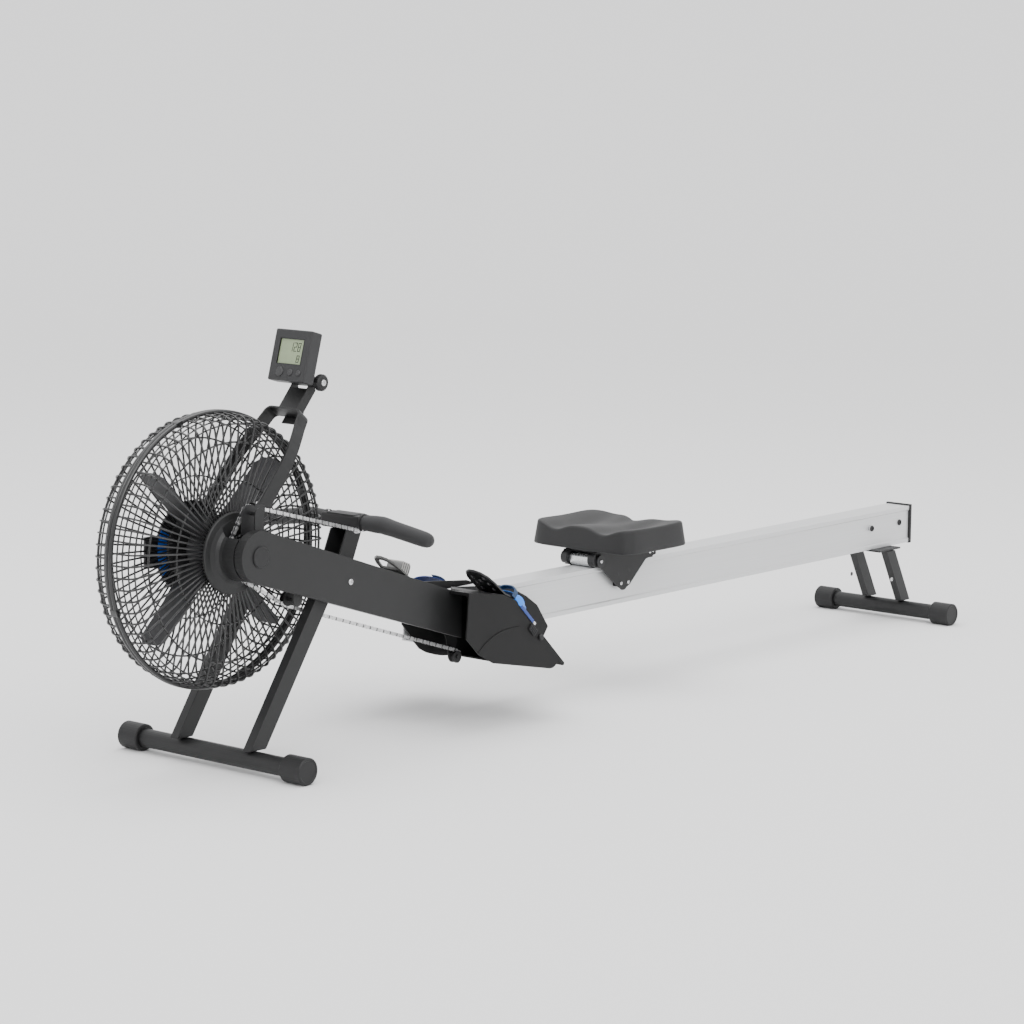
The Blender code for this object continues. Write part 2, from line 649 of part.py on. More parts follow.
def chain_parts(machine):
    half = CHAIN_H / 2
    path = chain_path(half)
    run = prism(band(path, half), CHAIN_Y - CHAIN_W / 2, CHAIN_Y + CHAIN_W / 2)
    add("chain_return_run", run, steel(), machine)

    start = Vector((path[0][0] + 0.0025, CHAIN_Y, path[0][1] + 0.0006))
    pull = swept([start, Vector(HANDLE_HOOK)], [half * 0.9, half * 0.9], sides=6)
    add("chain_pull_run", pull, steel(), machine)

    outline = []
    for k in range(SPROCKET_TEETH):
        for share, radius in ((0.25, 0.0368), (0.42, 0.0392), (0.58, 0.0392), (0.75, 0.0368)):
            angle = 2 * pi * (k + share) / SPROCKET_TEETH
            outline.append((radius * cos(angle), AXLE_Z + radius * sin(angle)))
    axle = (0, CHAIN_Y, AXLE_Z)
    gear = prism(outline, CHAIN_Y - 0.002, CHAIN_Y + 0.002)
    gear = add("chain_sprocket", gear, steel(), machine, axle)
    cut(gear, cylinder(0.018, -0.0045, 0.0045, axle), machine, "UNION")
    cut(gear, cylinder(AXLE_R + GAP, -0.02, 0.02, axle), machine)

    for name, x, z in (("chain_guide_roller", GUIDE_X, GUIDE_Z), ("chain_idler", IDLER_X, IDLER_Z)):
        profile = [
            (PIN_R + GAP, -0.0060), (IDLER_R + 0.004, -0.0060), (IDLER_R + 0.004, -0.0035),
            (IDLER_R, -0.0030), (IDLER_R, 0.0030), (IDLER_R + 0.004, 0.0035),
            (IDLER_R + 0.004, 0.0060), (PIN_R + GAP, 0.0060),
        ]  # fmt: skip
        roller = turned(profile, (x, CHAIN_Y, z), sides=20)
        add(name, roller, black_plastic(), machine, (x, CHAIN_Y, z), smooth=True)
    profile = [
        (PIN_R + GAP, -0.0070), (RETURN_R + 0.003, -0.0070), (RETURN_R + 0.003, -0.0040),
        (RETURN_R, -0.0032), (RETURN_R, 0.0032), (RETURN_R + 0.003, 0.0040),
        (RETURN_R + 0.003, 0.0070), (PIN_R + GAP, 0.0070),
    ]  # fmt: skip
    centre = (RETURN_X, CHAIN_Y, RETURN_Z)
    add("return_pulley", turned(profile, centre, sides=24), black_plastic(), machine, centre, smooth=True)

    back = BEAM_END + GAP
    shape = [
        (back, 0.2165), (back, 0.2470), (back + 0.022, 0.247), (RETURN_X + 0.016, RETURN_Z + 0.030),
        *arc(RETURN_X, RETURN_Z, 0.0100, 30, -160, 7), (RETURN_X - 0.016, RETURN_Z + 0.034),
    ]  # fmt: skip
    yoke = add("return_pulley_block", prism(shape, CHAIN_Y - 0.0105, CHAIN_Y + 0.0105), powder(), machine)
    slot = block((RETURN_X - 0.1, RETURN_X + 0.1), (CHAIN_Y - 0.0200, CHAIN_Y + 0.0078), (0.1, 0.200))
    cut(yoke, slot, machine)
    cut(yoke, cylinder(PIN_R, -0.0090, 0.0100, centre, sides=12), machine, "UNION")


def handle_parts(machine):
    """The pull handle lying on its rest post: a bent steel bar, a centre block and two foam grips."""
    half_w, depth = 0.0225, 0.042
    base = (HANDLE_X - 0.031, 0, 0.343)
    height = (HANDLE_Z - 0.0150 - GAP - base[2]) / cos(POST_LEAN)
    post = block((-depth / 2, depth / 2), (-half_w, half_w), (-0.04, height + 0.03))
    post = add("handle_post", tilted(post, base, POST_LEAN), powder(), machine)
    inside = block((-depth, depth / 2 - 0.003), (-half_w + 0.003, half_w - 0.003), (-0.1, height + 0.1))
    cut(post, tilted(inside, base, POST_LEAN), machine)
    seat_z = HANDLE_Z - 0.0150 - GAP
    cut(post, block((0.2, 0.6), (-0.1, 0.1), (seat_z, seat_z + 0.1)), machine)
    cut(post, cylinder(0.0140 + GAP, -0.1, 0.1, CROSS_TUBE, sides=20), machine)
    cut(post, block((0.2, 0.6), (-0.1, 0.1), (0.2, CROSS_TUBE[2])), machine)

    bar_r = 0.0095
    elbow, drop = 0.100, radians(8.5)

    def along(y):
        """A point of the handle's middle line at this distance from the centre, on the +Y side."""
        over = max(0.0, y - elbow)
        return Vector((HANDLE_X, min(y, elbow) + over * cos(drop), HANDLE_Z - over * sin(drop)))

    stations = (0.0, 0.055, 0.090, 0.100, 0.110, 0.222)
    right = [along(y) for y in stations]
    left = [Vector((p.x, -p.y, p.z)) for p in right[:0:-1]]
    bar = swept(left + right, [bar_r] * (2 * len(stations) - 1), sides=12)
    add("handle_bar", bar, steel(), machine, (HANDLE_X, 0, HANDLE_Z), smooth=True)

    half = 0.0510
    middle = (HANDLE_X, 0, HANDLE_Z)
    across, up = (HANDLE_X - 0.0190, HANDLE_X + 0.0190), (HANDLE_Z - 0.015, HANDLE_Z + 0.014)
    centre = block(across, (-half, half), up)
    centre = add("handle_centre_block", centre, black_plastic(), machine, middle)
    bevel = centre.modifiers.new("round_edges", "BEVEL")
    bevel.width = 0.004
    bevel.segments = 2
    cut(centre, cylinder(bar_r + GAP, -0.1, 0.1, middle, sides=16), machine)
    hook = Vector(HANDLE_HOOK)
    notch_y, notch_z = (hook.y - 0.007, hook.y + 0.007), (hook.z - 0.02, hook.z + 0.006)
    cut(centre, block((HANDLE_X - 0.03, hook.x + 0.006), notch_y, notch_z), machine)

    for side, sign in (("left", -1), ("right", 1)):
        places = (half + GAP, 0.066, 0.088, 0.100, 0.112, 0.150, 0.205, 0.219, 0.2275, 0.2305)
        extra = (-0.0027, 0, 0.001, 0.001, 0.0006, 0, -0.0006, -0.0022, -0.0062, -0.0122)
        radii = [GRIP_R + more for more in extra]
        grip = swept([along(y) for y in places], radii, sides=16)
        core = swept([along(y) for y in (0.04, 0.090, 0.100, 0.110, 0.2225)], [bar_r + GAP] * 5, sides=12)
        if sign < 0:
            flipped(grip)
            flipped(core)
        grip = add(f"handle_grip_{side}", grip, foam(), machine, smooth=True)
        cut(grip, core, machine)


def upright(bm, lean=STRAP_LEAN):
    """Tips a body drawn about the axle, with its own Z along the strap, to the strap's lean."""
    return tilted(bm, (0, 0, AXLE_Z), lean)


def monitor_strap(machine):
    """Flat bar bent to an upside-down U over the cage, with an eye on the axle at each end."""
    t, width = 0.0040, 0.030
    foot = 0.0745  # middle of the strap's thickness at the axle
    leg = [
        (-foot, 0.0), (-foot, 0.050), (-0.0695, 0.075), (-0.0695, 0.195), (-0.0680, 0.215),
        (-0.0645, 0.235), (-0.0600, 0.254), (-0.0550, 0.272), (-0.0495, 0.290),
    ]  # fmt: skip
    corner = 0.0130
    leg += arc(-0.0325, STRAP_TOP - t / 2 - corner, corner, 165, 90, 5)
    outline = band(leg + [(-y, z) for y, z in reversed(leg)], t / 2)
    strap = add("monitor_strap", upright(prism(outline, -width / 2, width / 2, "X")), powder(), machine)
    for low, high in ((-foot - t / 2, -foot + t / 2), (foot - t / 2, foot + t / 2)):
        cut(strap, cylinder(0.0170, low, high, (0, 0, AXLE_Z), sides=24), machine, "UNION")
    cut(strap, cylinder(AXLE_R + GAP, -0.1, 0.1, (0, 0, AXLE_Z), sides=16), machine)


def monitor_post(machine):
    """Folded channel that stands on the strap, with a tab behind it and two ears at the pivot."""
    low = STRAP_TOP + GAP
    pivot_up = TILT_X * sin(STRAP_LEAN) + (TILT_Z - AXLE_Z) * cos(STRAP_LEAN)
    pivot_out = TILT_X * cos(STRAP_LEAN) - (TILT_Z - AXLE_Z) * sin(STRAP_LEAN)
    half, front, back, wall = 0.0235, -0.0065, 0.0150, 0.0025
    side = [
        (front, low), (back, low), (back, pivot_up - 0.010),
        *arc(pivot_out, pivot_up, 0.0110, -30, 150, 6), (front, pivot_up - 0.016),
    ]  # fmt: skip
    post = add("monitor_post", upright(prism(side, -half, half)), powder(), machine)
    inside = block((front + wall, back + 0.1), (-half + wall, half - wall), (low - 0.01, pivot_up + 0.1))
    cut(post, upright(inside), machine)
    gap_up = (pivot_up - 0.020, pivot_up + 0.1)
    cut(post, upright(block((-0.1, front + wall + 0.001), (-half + wall, half - wall), gap_up)), machine)
    tab = block((0.0155, 0.0180), (-0.019, 0.019), (STRAP_TOP - 0.018, STRAP_TOP + 0.012))
    cut(post, upright(tab), machine, "UNION")
    joint = block((0.0100, 0.0160), (-half, half), (low + 0.001, low + 0.010))
    cut(post, upright(joint), machine, "UNION")
    pin = cylinder(PIN_R, -0.0335, half + 0.002, (TILT_X, 0, TILT_Z), sides=16)
    cut(post, pin, machine, "UNION")


def face_place(across, up, depth=0.0):
    """A place on the monitor: across to -Y, up its face, and depth behind the face."""
    lean = MONITOR_LEAN
    x = MONITOR_FACE[0] + up * sin(lean) + depth * cos(lean)
    z = MONITOR_FACE[1] + up * cos(lean) - depth * sin(lean)
    return (x, -across, z)


def on_monitor(bm):
    return tilted(bm, (MONITOR_FACE[0], 0, MONITOR_FACE[1]), MONITOR_LEAN)


def monitor_parts(machine):
    half_w, half_h = MONITOR_W / 2, MONITOR_H / 2
    pivot = (TILT_X, 0, TILT_Z)
    case = block((0, MONITOR_D), (-half_w, half_w), (-half_h, half_h))
    case = add("monitor_case", on_monitor(case), black_plastic(), machine, pivot)
    bevel = case.modifiers.new("round_edges", "BEVEL")
    bevel.width = 0.003
    bevel.segments = 2
    screen = ((-0.0310, 0.0310), (-0.0165, 0.0320))
    depth = 0.0022
    hole = block((-0.01, depth + 0.0012), screen[0], screen[1])
    cut(case, on_monitor(hole), machine)
    across, up = [(low + GAP, high - GAP) for low, high in screen]
    glass = block((depth, depth + 0.0012 - GAP), across, up)
    add("lcd_screen", on_monitor(glass), material("lcd_glass", (0.46, 0.53, 0.36), 0.25), machine, pivot)

    buttons = ((0.0190, 0.0095), (-0.0090, 0.0066), (-0.0310, 0.0058))
    for k, (y, radius) in enumerate(buttons):
        seat = cylinder(radius + 0.0004, -0.01, 0.0065, (0, y, -0.0330), axis="X", sides=24)
        cut(case, on_monitor(seat), machine)
        key = turned(
            [(0, 0.0038), (radius, 0.0038), (radius, -0.0006), (radius - 0.001, -0.0016), (0, -0.0020)],
            (0, y, -0.0330), "X", 24,
        )  # fmt: skip
        place = face_place(-y, -0.0330)
        add(f"button_{k + 1}", on_monitor(key), black_plastic(), machine, place, smooth=True)

    lug = prism(
        [(0.2215, 0.7260), (0.2300, 0.7600), (0.2420, 0.7560), *arc(TILT_X, TILT_Z, 0.0095, 40, -130, 8)],
        -0.0180, 0.0180,
    )  # fmt: skip
    cut(case, lug, machine, "UNION")
    cut(case, cylinder(PIN_R + GAP, -0.1, 0.1, pivot, sides=16), machine)
    knob = turned(
        [(0, -0.0500), (0.0125, -0.0500), (0.0155, -0.0475), (0.0155, -0.0385), (0.0100, -0.0350),
         (0.0100, -0.0240), (PIN_R + GAP, -0.0240), (PIN_R + GAP, -0.0340), (0, -0.0340)],
        pivot, sides=24,
    )  # fmt: skip
    add("tilt_knob", knob, black_plastic(), machine, pivot, smooth=True)


def on_incline(bm):
    """Lays a body, drawn flat about the origin, on the footplate: X down the incline, from its middle."""
    slope = atan2(FOOT_TOP[1] - FOOT_TIP[1], FOOT_TIP[0] - FOOT_TOP[0])
    middle = ((FOOT_TOP[0] + FOOT_TIP[0]) / 2, 0, (FOOT_TOP[1] + FOOT_TIP[1]) / 2)
    return tilted(bm, middle, slope)


def toe_outline(low, high, tip, end):
    """Plan of a toe plate: square at its lower end, with a round tip leaning to the inner side."""
    width = high - low
    curve = ((0.0, 0.64), (0.007, 0.85), (0.021, 0.97), (0.040, 1.0))
    upper = [(tip + along, low + share * width) for along, share in curve]
    curve = ((0.0, 0.44), (0.005, 0.22), (0.016, 0.06), (0.034, 0.0))
    lower = [(tip + along, low + share * width) for along, share in curve]
    return [(end, low), *lower[::-1], *upper, (end, high)]


def strap_outline(low, high, rise, thick):
    """Section of a foot strap across the foot: a low arch of even thickness on two feet."""

    def hump(inset):
        span, steps = high - low - 2 * inset, 14
        points = []
        for k in range(steps + 1):
            angle = pi * k / steps
            flat = abs(cos(angle)) ** 0.75 * (1 if cos(angle) > 0 else -1)
            tall = sin(angle) ** 0.62
            points.append(((low + high) / 2 - flat * span / 2, 0.0008 + (rise - inset) * tall))
        return points

    return hump(0.0) + hump(thick)[::-1]


def foot_parts(machine):
    """Each foot: a tapered shell on the beam's end, an inner wall, an inclined plate and a strap."""
    left_shell = [
        (0.534, 0.2920), (0.638, 0.2770), FOOT_TOP, FOOT_TIP, (0.8370, 0.1090), (0.8355, 0.1062),
        (0.8320, 0.1056), (0.8285, 0.1070), (0.8180, 0.1185), (0.8080, 0.1085), (0.8000, 0.1050),
        (0.7900, 0.1048), (0.6120, 0.1400), (0.5660, 0.1640), (0.5280, 0.2000),
    ]  # fmt: skip
    left_hollow = [
        (0.500, 0.2900), (0.637, 0.2735), (0.6730, 0.2570), (0.8170, 0.1210), (0.7950, 0.1085),
        (0.6650, 0.1330), (0.6650, 0.1100), (0.5000, 0.1100),
    ]  # fmt: skip
    left_wall = [
        (0.4875, 0.2187), (0.4920, 0.2420), (0.5900, 0.2420), (0.6300, 0.2700), (0.6400, 0.2760),
        (0.7900, 0.2620), (0.8380, 0.2460),
        (0.8720, 0.2300), (0.9090, 0.2060), (0.9460, 0.1560), (0.9320, 0.1370), (0.8240, 0.1120),
        (0.7950, 0.1050), (0.6292, 0.1370), (0.6092, 0.1387), (0.5895, 0.1428), (0.5619, 0.1511),
        (0.5405, 0.1619), (0.5222, 0.1801),
    ]  # fmt: skip
    right_shell = [
        (0.534, 0.2920), (0.638, 0.2770), FOOT_TOP, (0.8120, 0.1348), (0.8095, 0.1310),
        (0.8040, 0.1320), (0.7930, 0.1450), (0.7800, 0.1530), (0.5280, 0.2260),
    ]  # fmt: skip
    right_hollow = [
        (0.500, 0.2900), (0.637, 0.2735), (0.6730, 0.2570), (0.7880, 0.1485), (0.5000, 0.2370),
    ]  # fmt: skip
    right_wall = [
        (0.6400, 0.2760), (0.7900, 0.2620), (0.8380, 0.2460), (0.8720, 0.2300), (0.9090, 0.2060),
        (0.9460, 0.1560), (0.9320, 0.1370), (0.8300, 0.1340), (0.7800, 0.1480), (0.6400, 0.1890),
    ]  # fmt: skip
    for side, mirror, shell, hollow, wall in (
        ("left", False, left_shell, left_hollow, left_wall),
        ("right", True, right_shell, right_hollow, right_wall),
    ):
        def place(bm):
            return flipped(bm) if mirror else bm

        body = place(prism(shell, -FOOT_OUT_Y, -FOOT_IN_Y))
        body = add(f"foot_housing_{side}", body, black_plastic(), machine)
        cut(body, place(prism(hollow, -FOOT_OUT_Y + FOOT_WALL, -FOOT_IN_Y + 0.01)), machine)
        beam = RIGHT_BEAM_Y if mirror else (-BEAM_OUT_Y, -BEAM_OUT_Y + BEAM_T)
        slot = block((0.4, BEAM_END + GAP), (beam[0] - GAP, beam[1] + GAP), (0.1, 0.4))
        cut(body, slot, machine)
        cut(body, place(prism(wall, -FOOT_IN_Y - 0.0035, -FOOT_IN_Y + 0.0005)), machine, "UNION")
        bar = block((BEAM_END - 0.030 - GAP, BEAM_END + GAP), (-0.112, 0.093), (0.2145 - GAP, 0.2500 + GAP))
        cut(body, bar, machine)
        slant = [
            (0.46, -0.1102), (0.566, -0.1102), (0.598, -0.080),
            (0.637, -0.044), (0.637, -0.03), (0.46, -0.03),
        ]  # fmt: skip
        cut(body, place(prism(slant, 0.250, 0.40, "Z")), machine)
        if mirror:
            cut(body, block((0.5, BEAM_END + GAP), (0.04, 0.0935), (0.19, 0.250 + GAP)), machine)

    side = [(0.560, 0.3490), (0.6520, 0.2760), (0.6825, 0.2632), (0.6937, 0.2512)]
    for name, low, high in (("left", -0.176, -0.110), ("right", 0.078, 0.138)):
        plate = prism(band(side, 0.00175), low, high)
        plate = add(f"toe_plate_{name}", plate, gloss_black(), machine)
        cut(plate, prism(toe_outline(low, high, 0.588, 0.8), 0.2, 0.4, "Z"), machine, "INTERSECT")
        if name == "left":
            middle = (low + high) / 2
            holes = [(x, middle + y) for x in (0.607, 0.623, 0.639) for y in (-0.015, 0.015)]
            for x, y in [*holes, (0.615, middle)]:
                cut(plate, cylinder(0.0050, 0.2, 0.4, (x, y, 0), "Z", 10), machine)
        else:
            loop = toe_outline(low + 0.009, high - 0.009, 0.5950, 0.622)
            loop = [(min(x, 0.622), y) for x, y in loop]
            cut(plate, prism(loop, 0.2, 0.4, "Z"), machine)

    thick = 0.0025
    left = prism(strap_outline(-0.1795, -0.0750, 0.025, thick), -0.108, -0.066, "X")
    left = add("foot_strap_left", on_incline(left), blue_webbing(), machine)
    tail = block((-0.070, -0.020), (-0.1795, -0.1635), (0.0012, 0.0037))
    cut(left, on_incline(tail), machine, "UNION")
    right = prism(strap_outline(0.0495, 0.1680, 0.054, thick), -0.060, -0.020, "X")
    add("foot_strap_right", on_incline(right), blue_webbing(), machine)


def main():
    clear_scene()
    machine = empty("machine", (MACHINE_X, 0, 0))
    rail = empty("rail_frame", (RAIL_REF_X, 0, RAIL_REF_Z), machine, RAIL_SLOPE)
    frame_parts(machine)
    foot_bar("front", FRONT_FOOT_X, FRONT_FOOT_HALF, machine)
    foot_bar("rear", REAR_FOOT_X, REAR_FOOT_HALF, machine)
    rear_legs(machine)
    rail_parts(rail)
    seat_parts(rail)
    fan_parts(machine)
    chain_parts(machine)
    handle_parts(machine)
    monitor_strap(machine)
    monitor_post(machine)
    monitor_parts(machine)
    foot_parts(machine)
    bpy.context.view_layer.update()


main()
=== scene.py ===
"""Looks of the air rowing machine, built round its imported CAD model. Metres, row frame."""

import json
from math import acos, atan2, cos, degrees, exp, hypot, pi, radians, sin

import bmesh
import bpy
import numpy as np
from mathutils import Matrix, Vector


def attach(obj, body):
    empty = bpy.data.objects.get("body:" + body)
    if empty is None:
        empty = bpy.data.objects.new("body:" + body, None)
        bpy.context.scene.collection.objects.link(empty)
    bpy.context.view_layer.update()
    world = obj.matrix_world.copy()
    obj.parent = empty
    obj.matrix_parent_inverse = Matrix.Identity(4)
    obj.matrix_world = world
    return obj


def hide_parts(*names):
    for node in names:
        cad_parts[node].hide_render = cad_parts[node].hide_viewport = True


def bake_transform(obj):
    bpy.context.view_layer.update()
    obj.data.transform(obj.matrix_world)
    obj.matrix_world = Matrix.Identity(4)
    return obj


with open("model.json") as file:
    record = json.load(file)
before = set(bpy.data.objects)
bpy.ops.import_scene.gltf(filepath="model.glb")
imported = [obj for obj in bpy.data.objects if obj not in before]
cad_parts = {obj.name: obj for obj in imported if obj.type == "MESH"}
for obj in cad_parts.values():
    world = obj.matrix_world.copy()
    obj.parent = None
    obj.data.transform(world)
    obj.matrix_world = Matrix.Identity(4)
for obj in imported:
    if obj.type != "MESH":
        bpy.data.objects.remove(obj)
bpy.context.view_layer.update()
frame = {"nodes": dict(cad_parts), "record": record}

# Places that part.py sets out, along X from the fan axle; MX moves them to the row frame.
MX = -1.0455
AXLE_Z = 0.418
CHAIN_Y = -0.083
CHAIN_PITCH = 0.0102
GUIDE, IDLER, PULLEY = (0.014, 0.4955), (0.118, 0.3200), (0.607, 0.1420)
SMALL_WRAP, SPROCKET_WRAP, PULLEY_WRAP = 0.0128, 0.0428, 0.0128
HANDLE = (0.370, 0.4365)
HOOK = (0.350, -0.0470, 0.4200)
MONITOR_LEAN = radians(15)
MONITOR_FACE = (0.210, 0.7725)
TILT = (0.252, 0.720)
RAIL_REF = (0.528, 0.2527)
RAIL_SLOPE = radians(0.582)
FOOT_SLOPE = atan2(0.148, 0.156)
FOOT_MIDDLE = (0.758, 0.186)


# ---------------------------------------------------------------- materials


def material(
    name, colour, rough, metallic=0.0, vary=0.18, vary_scale=14.0, rough_vary=0.08,
    bump=0.12, bump_scale=1400.0, bump_depth=0.0004, stretch=(1, 1, 1), shader_values=(),
):  # fmt: skip
    """Principled material: clouded colour and roughness, and a fine bump, in object coordinates."""
    mat = bpy.data.materials.new(name)
    mat.use_nodes = True
    nodes, links = mat.node_tree.nodes, mat.node_tree.links
    shader = nodes["Principled BSDF"]
    shader.inputs["Metallic"].default_value = metallic
    for socket, value in shader_values:
        shader.inputs[socket].default_value = value
    coords = nodes.new("ShaderNodeTexCoord")
    mapping = nodes.new("ShaderNodeMapping")
    mapping.inputs["Scale"].default_value = stretch
    links.new(coords.outputs["Object"], mapping.inputs["Vector"])

    cloud = nodes.new("ShaderNodeTexNoise")
    cloud.inputs["Scale"].default_value = vary_scale
    cloud.inputs["Detail"].default_value = 5.0
    links.new(mapping.outputs["Vector"], cloud.inputs["Vector"])
    ramp = nodes.new("ShaderNodeValToRGB")
    ramp.color_ramp.elements[0].position = 0.30
    ramp.color_ramp.elements[1].position = 0.70
    ramp.color_ramp.elements[0].color = (*[c * (1 - vary) for c in colour], 1)
    ramp.color_ramp.elements[1].color = (*[min(1, c * (1 + vary)) for c in colour], 1)
    links.new(cloud.outputs["Fac"], ramp.inputs["Fac"])
    links.new(ramp.outputs["Color"], shader.inputs["Base Color"])

    spread = nodes.new("ShaderNodeMapRange")
    spread.inputs["To Min"].default_value = max(0.02, rough - rough_vary)
    spread.inputs["To Max"].default_value = min(1.0, rough + rough_vary)
    links.new(cloud.outputs["Fac"], spread.inputs["Value"])
    links.new(spread.outputs["Result"], shader.inputs["Roughness"])

    grain = nodes.new("ShaderNodeTexNoise")
    grain.inputs["Scale"].default_value = bump_scale
    grain.inputs["Detail"].default_value = 3.0
    links.new(mapping.outputs["Vector"], grain.inputs["Vector"])
    relief = nodes.new("ShaderNodeBump")
    relief.inputs["Strength"].default_value = bump
    relief.inputs["Distance"].default_value = bump_depth
    links.new(grain.outputs["Fac"], relief.inputs["Height"])
    links.new(relief.outputs["Normal"], shader.inputs["Normal"])
    return mat


def webbing(name, colour):
    """Woven strap: two crossed sets of waves give the ribs their relief, and darken the grooves between
    them as painted shade.
    """
    mat = material(name, colour, 0.62, vary=0.12, shader_values=[("Sheen Weight", 0.25)])
    nodes, links = mat.node_tree.nodes, mat.node_tree.links
    shader, relief = nodes["Principled BSDF"], nodes["Bump"]
    coords = nodes["Texture Coordinate"]
    waves = []
    for direction in ("X", "Y"):
        wave = nodes.new("ShaderNodeTexWave")
        wave.bands_direction = direction
        wave.inputs["Scale"].default_value = 160.0
        wave.inputs["Distortion"].default_value = 0.6
        links.new(coords.outputs["Object"], wave.inputs["Vector"])
        waves.append(wave)
    weave = nodes.new("ShaderNodeMath")
    weave.operation = "MULTIPLY"
    links.new(waves[0].outputs["Fac"], weave.inputs[0])
    links.new(waves[1].outputs["Fac"], weave.inputs[1])
    # Painted shade: the weave's low grooves take a darker copy of the colour.
    shade = nodes.new("ShaderNodeMix")
    shade.data_type = "RGBA"
    shade.inputs["A"].default_value = (*[c * 0.55 for c in colour], 1)
    links.new(weave.outputs["Value"], shade.inputs["Factor"])
    links.new(nodes["Color Ramp"].outputs["Color"], shade.inputs["B"])
    links.new(shade.outputs["Result"], shader.inputs["Base Color"])
    relief.inputs["Strength"].default_value = 0.5
    links.new(weave.outputs["Value"], relief.inputs["Height"])
    return mat


POWDER = material(
    "powder_coat_satin", (0.0115, 0.0117, 0.0120), 0.44, bump=0.16, bump_scale=1600, vary=0.12,
    shader_values=[("Specular IOR Level", 0.34)],
)  # fmt: skip
PLASTIC = material(
    "moulded_black", (0.0125, 0.0125, 0.0130), 0.50, bump=0.22, bump_scale=1900, vary=0.14,
    shader_values=[("Specular IOR Level", 0.32)],
)  # fmt: skip
HOUSING = material(
    "foot_moulding_black", (0.0048, 0.0048, 0.0050), 0.50, bump=0.22, bump_scale=1900, vary=0.14,
    shader_values=[("Specular IOR Level", 0.22)],
)  # fmt: skip
DARK = material("deep_black", (0.008, 0.008, 0.009), 0.55, bump=0.12, bump_scale=1500)
MONITOR = material(
    "monitor_shell", (0.022, 0.022, 0.023), 0.46, bump=0.22, bump_scale=2200, vary=0.10,
    shader_values=[("Specular IOR Level", 0.36)],
)  # fmt: skip
BUTTON = material("button_rubber", (0.026, 0.026, 0.027), 0.50, bump=0.1, bump_scale=2400)
WIRE = material(
    "wire_gloss", (0.008, 0.008, 0.0085), 0.32, bump=0.05, bump_scale=700,
    shader_values=[("Coat Weight", 0.25), ("Coat Roughness", 0.18)],
)  # fmt: skip
BLADE = material("blade_plastic", (0.022, 0.022, 0.024), 0.55, bump=0.15, bump_scale=900)
TOE = material("toe_plate_coat", (0.010, 0.010, 0.011), 0.33, bump=0.1, bump_scale=1500)
RAIL = material(
    "rail_anodised", (0.64, 0.645, 0.65), 0.42, metallic=0.50, vary=0.03, vary_scale=60.0,
    bump=0.06, bump_scale=140, bump_depth=0.0003, stretch=(0.05, 6, 6),
)  # fmt: skip
ROLLER = material(
    "roller_turned", (0.72, 0.73, 0.74), 0.26, metallic=0.9, vary=0.04, vary_scale=90.0,
    bump=0.08, bump_scale=300, bump_depth=0.0003, stretch=(1, 8, 1),
)  # fmt: skip
STEEL = material(
    "bright_steel_parts", (0.60, 0.60, 0.61), 0.24, metallic=1.0, vary=0.06, bump=0.06, bump_scale=600
)
CHAIN = material(
    "chain_nickel", (0.66, 0.66, 0.66), 0.30, metallic=0.85, vary=0.20, vary_scale=160.0,
    bump=0.1, bump_scale=900,
)  # fmt: skip
CHAIN_DARK = material(
    "chain_inner_steel", (0.10, 0.10, 0.105), 0.38, metallic=0.7, vary=0.25, vary_scale=160.0,
    bump=0.1, bump_scale=900,
)  # fmt: skip
SEAT = material(
    "seat_foam_skin", (0.017, 0.017, 0.0175), 0.60, bump=0.30, bump_scale=1300, vary=0.08,
    vary_scale=9.0, shader_values=[("Sheen Weight", 0.05), ("Specular IOR Level", 0.30)],
)  # fmt: skip
GRIP = material(
    "grip_foam_cells", (0.017, 0.017, 0.018), 0.80, bump=0.55, bump_scale=1100, vary=0.15,
    shader_values=[("Sheen Weight", 0.10)],
)  # fmt: skip
BLUE = material("blue_moulding", (0.010, 0.085, 0.42), 0.38, bump=0.1, bump_scale=900)
# Blue moulding brightened as a painted highlight, for the lit outer face at the near strap's end.
BLUE_PAINTED_LIT = material("blue_moulding_painted_highlight", (0.012, 0.22, 0.85), 0.38, bump=0.1, bump_scale=900)
# Blue moulding darkened as painted shade: the strap's inner face in shadow, on the near loop and on the far
# pad.
BLUE_PAINTED_SHADE = material("blue_moulding_painted_shade", (0.006, 0.035, 0.10), 0.45, bump=0.1, bump_scale=900)
GREY = material("grey_clip_plastic", (0.13, 0.13, 0.127), 0.42, bump=0.1, bump_scale=900)
LIGHT = material("light_clip_edge", (0.42, 0.41, 0.39), 0.40, bump=0.1, bump_scale=900)
STRAP_BLUE = webbing("strap_weave_blue", (0.012, 0.20, 0.80))
# Same webbing darkened as painted shade, for the far strap and for the tail on the slab's side face.
STRAP_PAINTED_SHADE = webbing("strap_weave_painted_shade", (0.006, 0.055, 0.36))
LCD = material(
    "lcd_reflective", (0.225, 0.275, 0.165), 0.22, vary=0.05, vary_scale=30.0, bump=0.03,
    shader_values=[("Coat Weight", 0.4), ("Coat Roughness", 0.08)],
)  # fmt: skip
SEGMENT = material("lcd_segments", (0.006, 0.008, 0.006), 0.35, bump=0.03)


# ---------------------------------------------------------------- shapes


def at(x, y, z):
    return Vector((x + MX, y, z))


